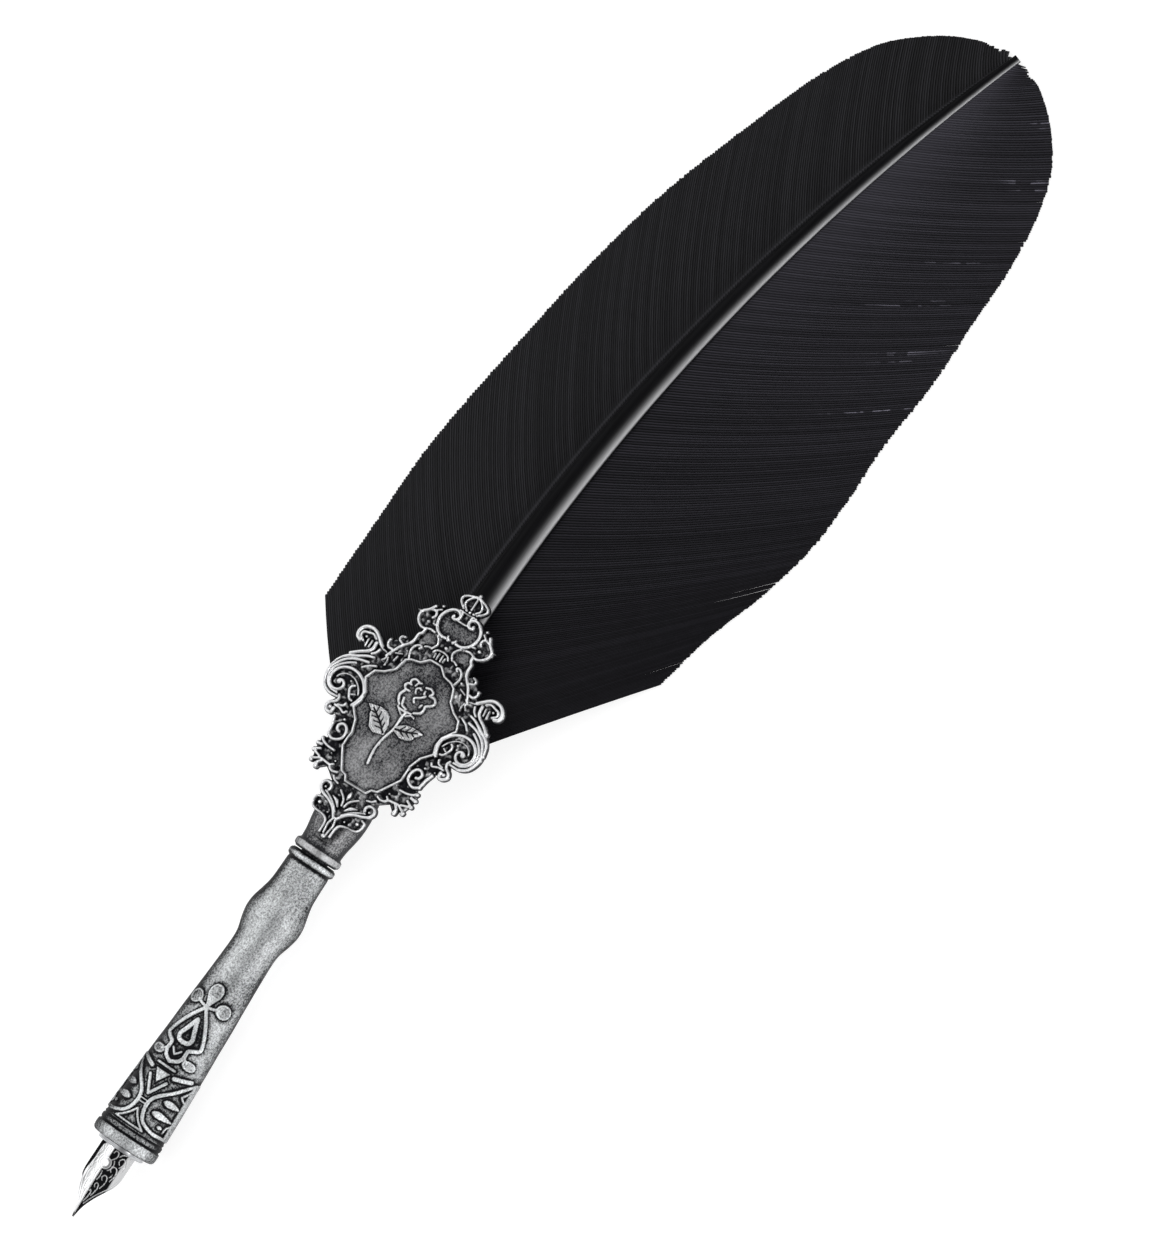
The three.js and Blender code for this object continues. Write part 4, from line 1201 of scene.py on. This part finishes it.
def make_vane(name, table, side, splits, openings, notches, rng, material):
    """One vane, parted at the splits, which are shares of the barb table's intervals."""
    starts = [row[0] for row in table]
    borders = np.interp(np.array(splits) * (len(table) - 1), np.arange(len(table)), starts)
    roots = np.arange(starts[0], starts[-1], BARB_PITCH)
    splay = np.zeros(len(roots))
    for place, opening, spread in [*zip(borders[1:-1], openings, [SPLIT_SPREAD] * 3), *notches]:
        away = roots - place
        splay += opening * np.sign(away) * np.exp(-abs(away) / spread)
    borders[-1] = FAR
    for i, (start, end) in enumerate(zip(borders, borders[1:]), 1):
        chosen = (roots >= start - 1e-6) & (roots < end)
        make_barbs(f"{name}_barbs_{i}", table, side, roots[chosen], splay[chosen], rng, material,
                   f"{name}_vane_{i}")


def make_vanes():
    rng = np.random.default_rng(7)
    make_vane("left", LEFT_BARBS, 1, LEFT_SPLITS, (0.02, 0.02, 0.02), LEFT_NOTCHES, rng, BARBS_LEFT)
    make_vane("right", RIGHT_BARBS, -1, RIGHT_SPLITS, (0.05, 0.06, 0.08), RIGHT_NOTCHES, rng, BARBS_RIGHT)


# ---- Floor, light and camera ----
CAMERA_ELEVATION = 76.0
CAMERA_ROLL = 56.3
CAMERA_DISTANCE = 2.2
VIEW_HEIGHT = 231.0
VIEW_CENTRE = (145.6, -16.6, AXIS_Z)


def make_floor():
    """A square far larger than the view. It glows, so that the pen's shadow stays faint."""
    size, level = 6.0, CAD_BOX[0].z - 0.0002
    mesh = bpy.data.meshes.new("floor")
    corners = [(-size, -size, level), (size, -size, level), (size, size, level), (-size, size, level)]
    mesh.from_pydata(corners, [], [(0, 1, 2, 3)])
    m = new_material("pale_floor", Roughness=0.75, Emission_Color=(1, 1, 1, 1), Emission_Strength=0.78)
    m.set(Base_Color=m.mix(m.ramp(m.grain(0.02), 0.3, 0.7), (0.4, 0.4, 0.4), (0.38, 0.38, 0.38)))
    mesh.materials.append(m.owner)
    show("floor", mesh)


def make_camera():
    elevation, roll = math.radians(CAMERA_ELEVATION), math.radians(CAMERA_ROLL)
    back = Vector((0, -math.cos(elevation), math.sin(elevation)))
    level_up = Vector((0, math.sin(elevation), math.cos(elevation)))
    right = Vector((1, 0, 0)) * math.cos(roll) - level_up * math.sin(roll)
    up = Vector((1, 0, 0)) * math.sin(roll) + level_up * math.cos(roll)
    data = bpy.data.cameras.new("camera")
    data.lens = data.sensor_width * CAMERA_DISTANCE / (VIEW_HEIGHT * MM)
    data.clip_start, data.clip_end = 0.05, 50
    camera = show("camera", data)
    place = Vector(to_row(VIEW_CENTRE)) + back * CAMERA_DISTANCE
    camera.matrix_world = Matrix.Translation(place) @ Matrix((right, up, back)).transposed().to_4x4()
    bpy.context.scene.camera = camera


def make_world():
    """A pale surround with a dark band high on the -Y side, for polished metal to show."""
    world = bpy.data.worlds.new("studio")
    bpy.context.scene.world = world
    m = Nodes(world, "Background", Strength=1.0)
    _, y, z = m.node("SeparateXYZ", Vector=m.node("TexCoord").outputs["Generated"]).outputs
    above = m.times(m.ramp(y, -0.24, 0.02), m.ramp(z, 0.1, 0.65, 0.4, 1.0))
    glow = m.times(m.ramp(z, 0.24, 0.08), m.ramp(y, 0.0, -0.3))
    tone = m.mix(m.calc("MAXIMUM", above, glow), (0.04, 0.04, 0.042), (1.0, 1.0, 1.0))
    m.set(Color=m.mix(m.node("LightPath").outputs["Is Camera Ray"], tone, (0.92, 0.92, 0.92)))


def soft_box(name, azimuth, elevation, size, radiance, distance=1.3):
    """A soft box that faces the pen from an azimuth (0 is -Y, 180 is +Y) and an elevation."""
    a, e = math.radians(azimuth), math.radians(elevation)
    place = Vector((math.sin(a) * math.cos(e), -math.cos(a) * math.cos(e), math.sin(e))) * distance
    data = bpy.data.lights.new(name, "AREA")
    data.shape = "RECTANGLE"
    data.size, data.size_y = size
    data.energy = radiance * math.pi * size[0] * size[1]
    light = show(name, data)
    light.matrix_world = Matrix.Translation(place) @ (-place).to_track_quat("-Z", "Y").to_matrix().to_4x4()


def make_lights():
    make_world()
    soft_box("strip_near", 0, 34, (2.4, 0.06), 24)
    soft_box("box_far", 180, 50, (2.4, 0.3), 0.9)


# ---- Assembly ----
def dress_kept_nodes():
    """The two small inner pieces keep their shape and get their own finish."""
    for name, material, slot in (("petal_core", BRASS, "core_brass"), ("glue_bead", GLUE, "glue")):
        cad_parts[name].material_slots[0].material = material


make_camera()
make_floor()
make_lights()
make_nib()
make_ferrule()
make_barrel()
make_neck()
make_crest()
make_shaft()
make_vanes()
dress_kept_nodes()
bpy.context.scene.view_settings.view_transform = "Standard"
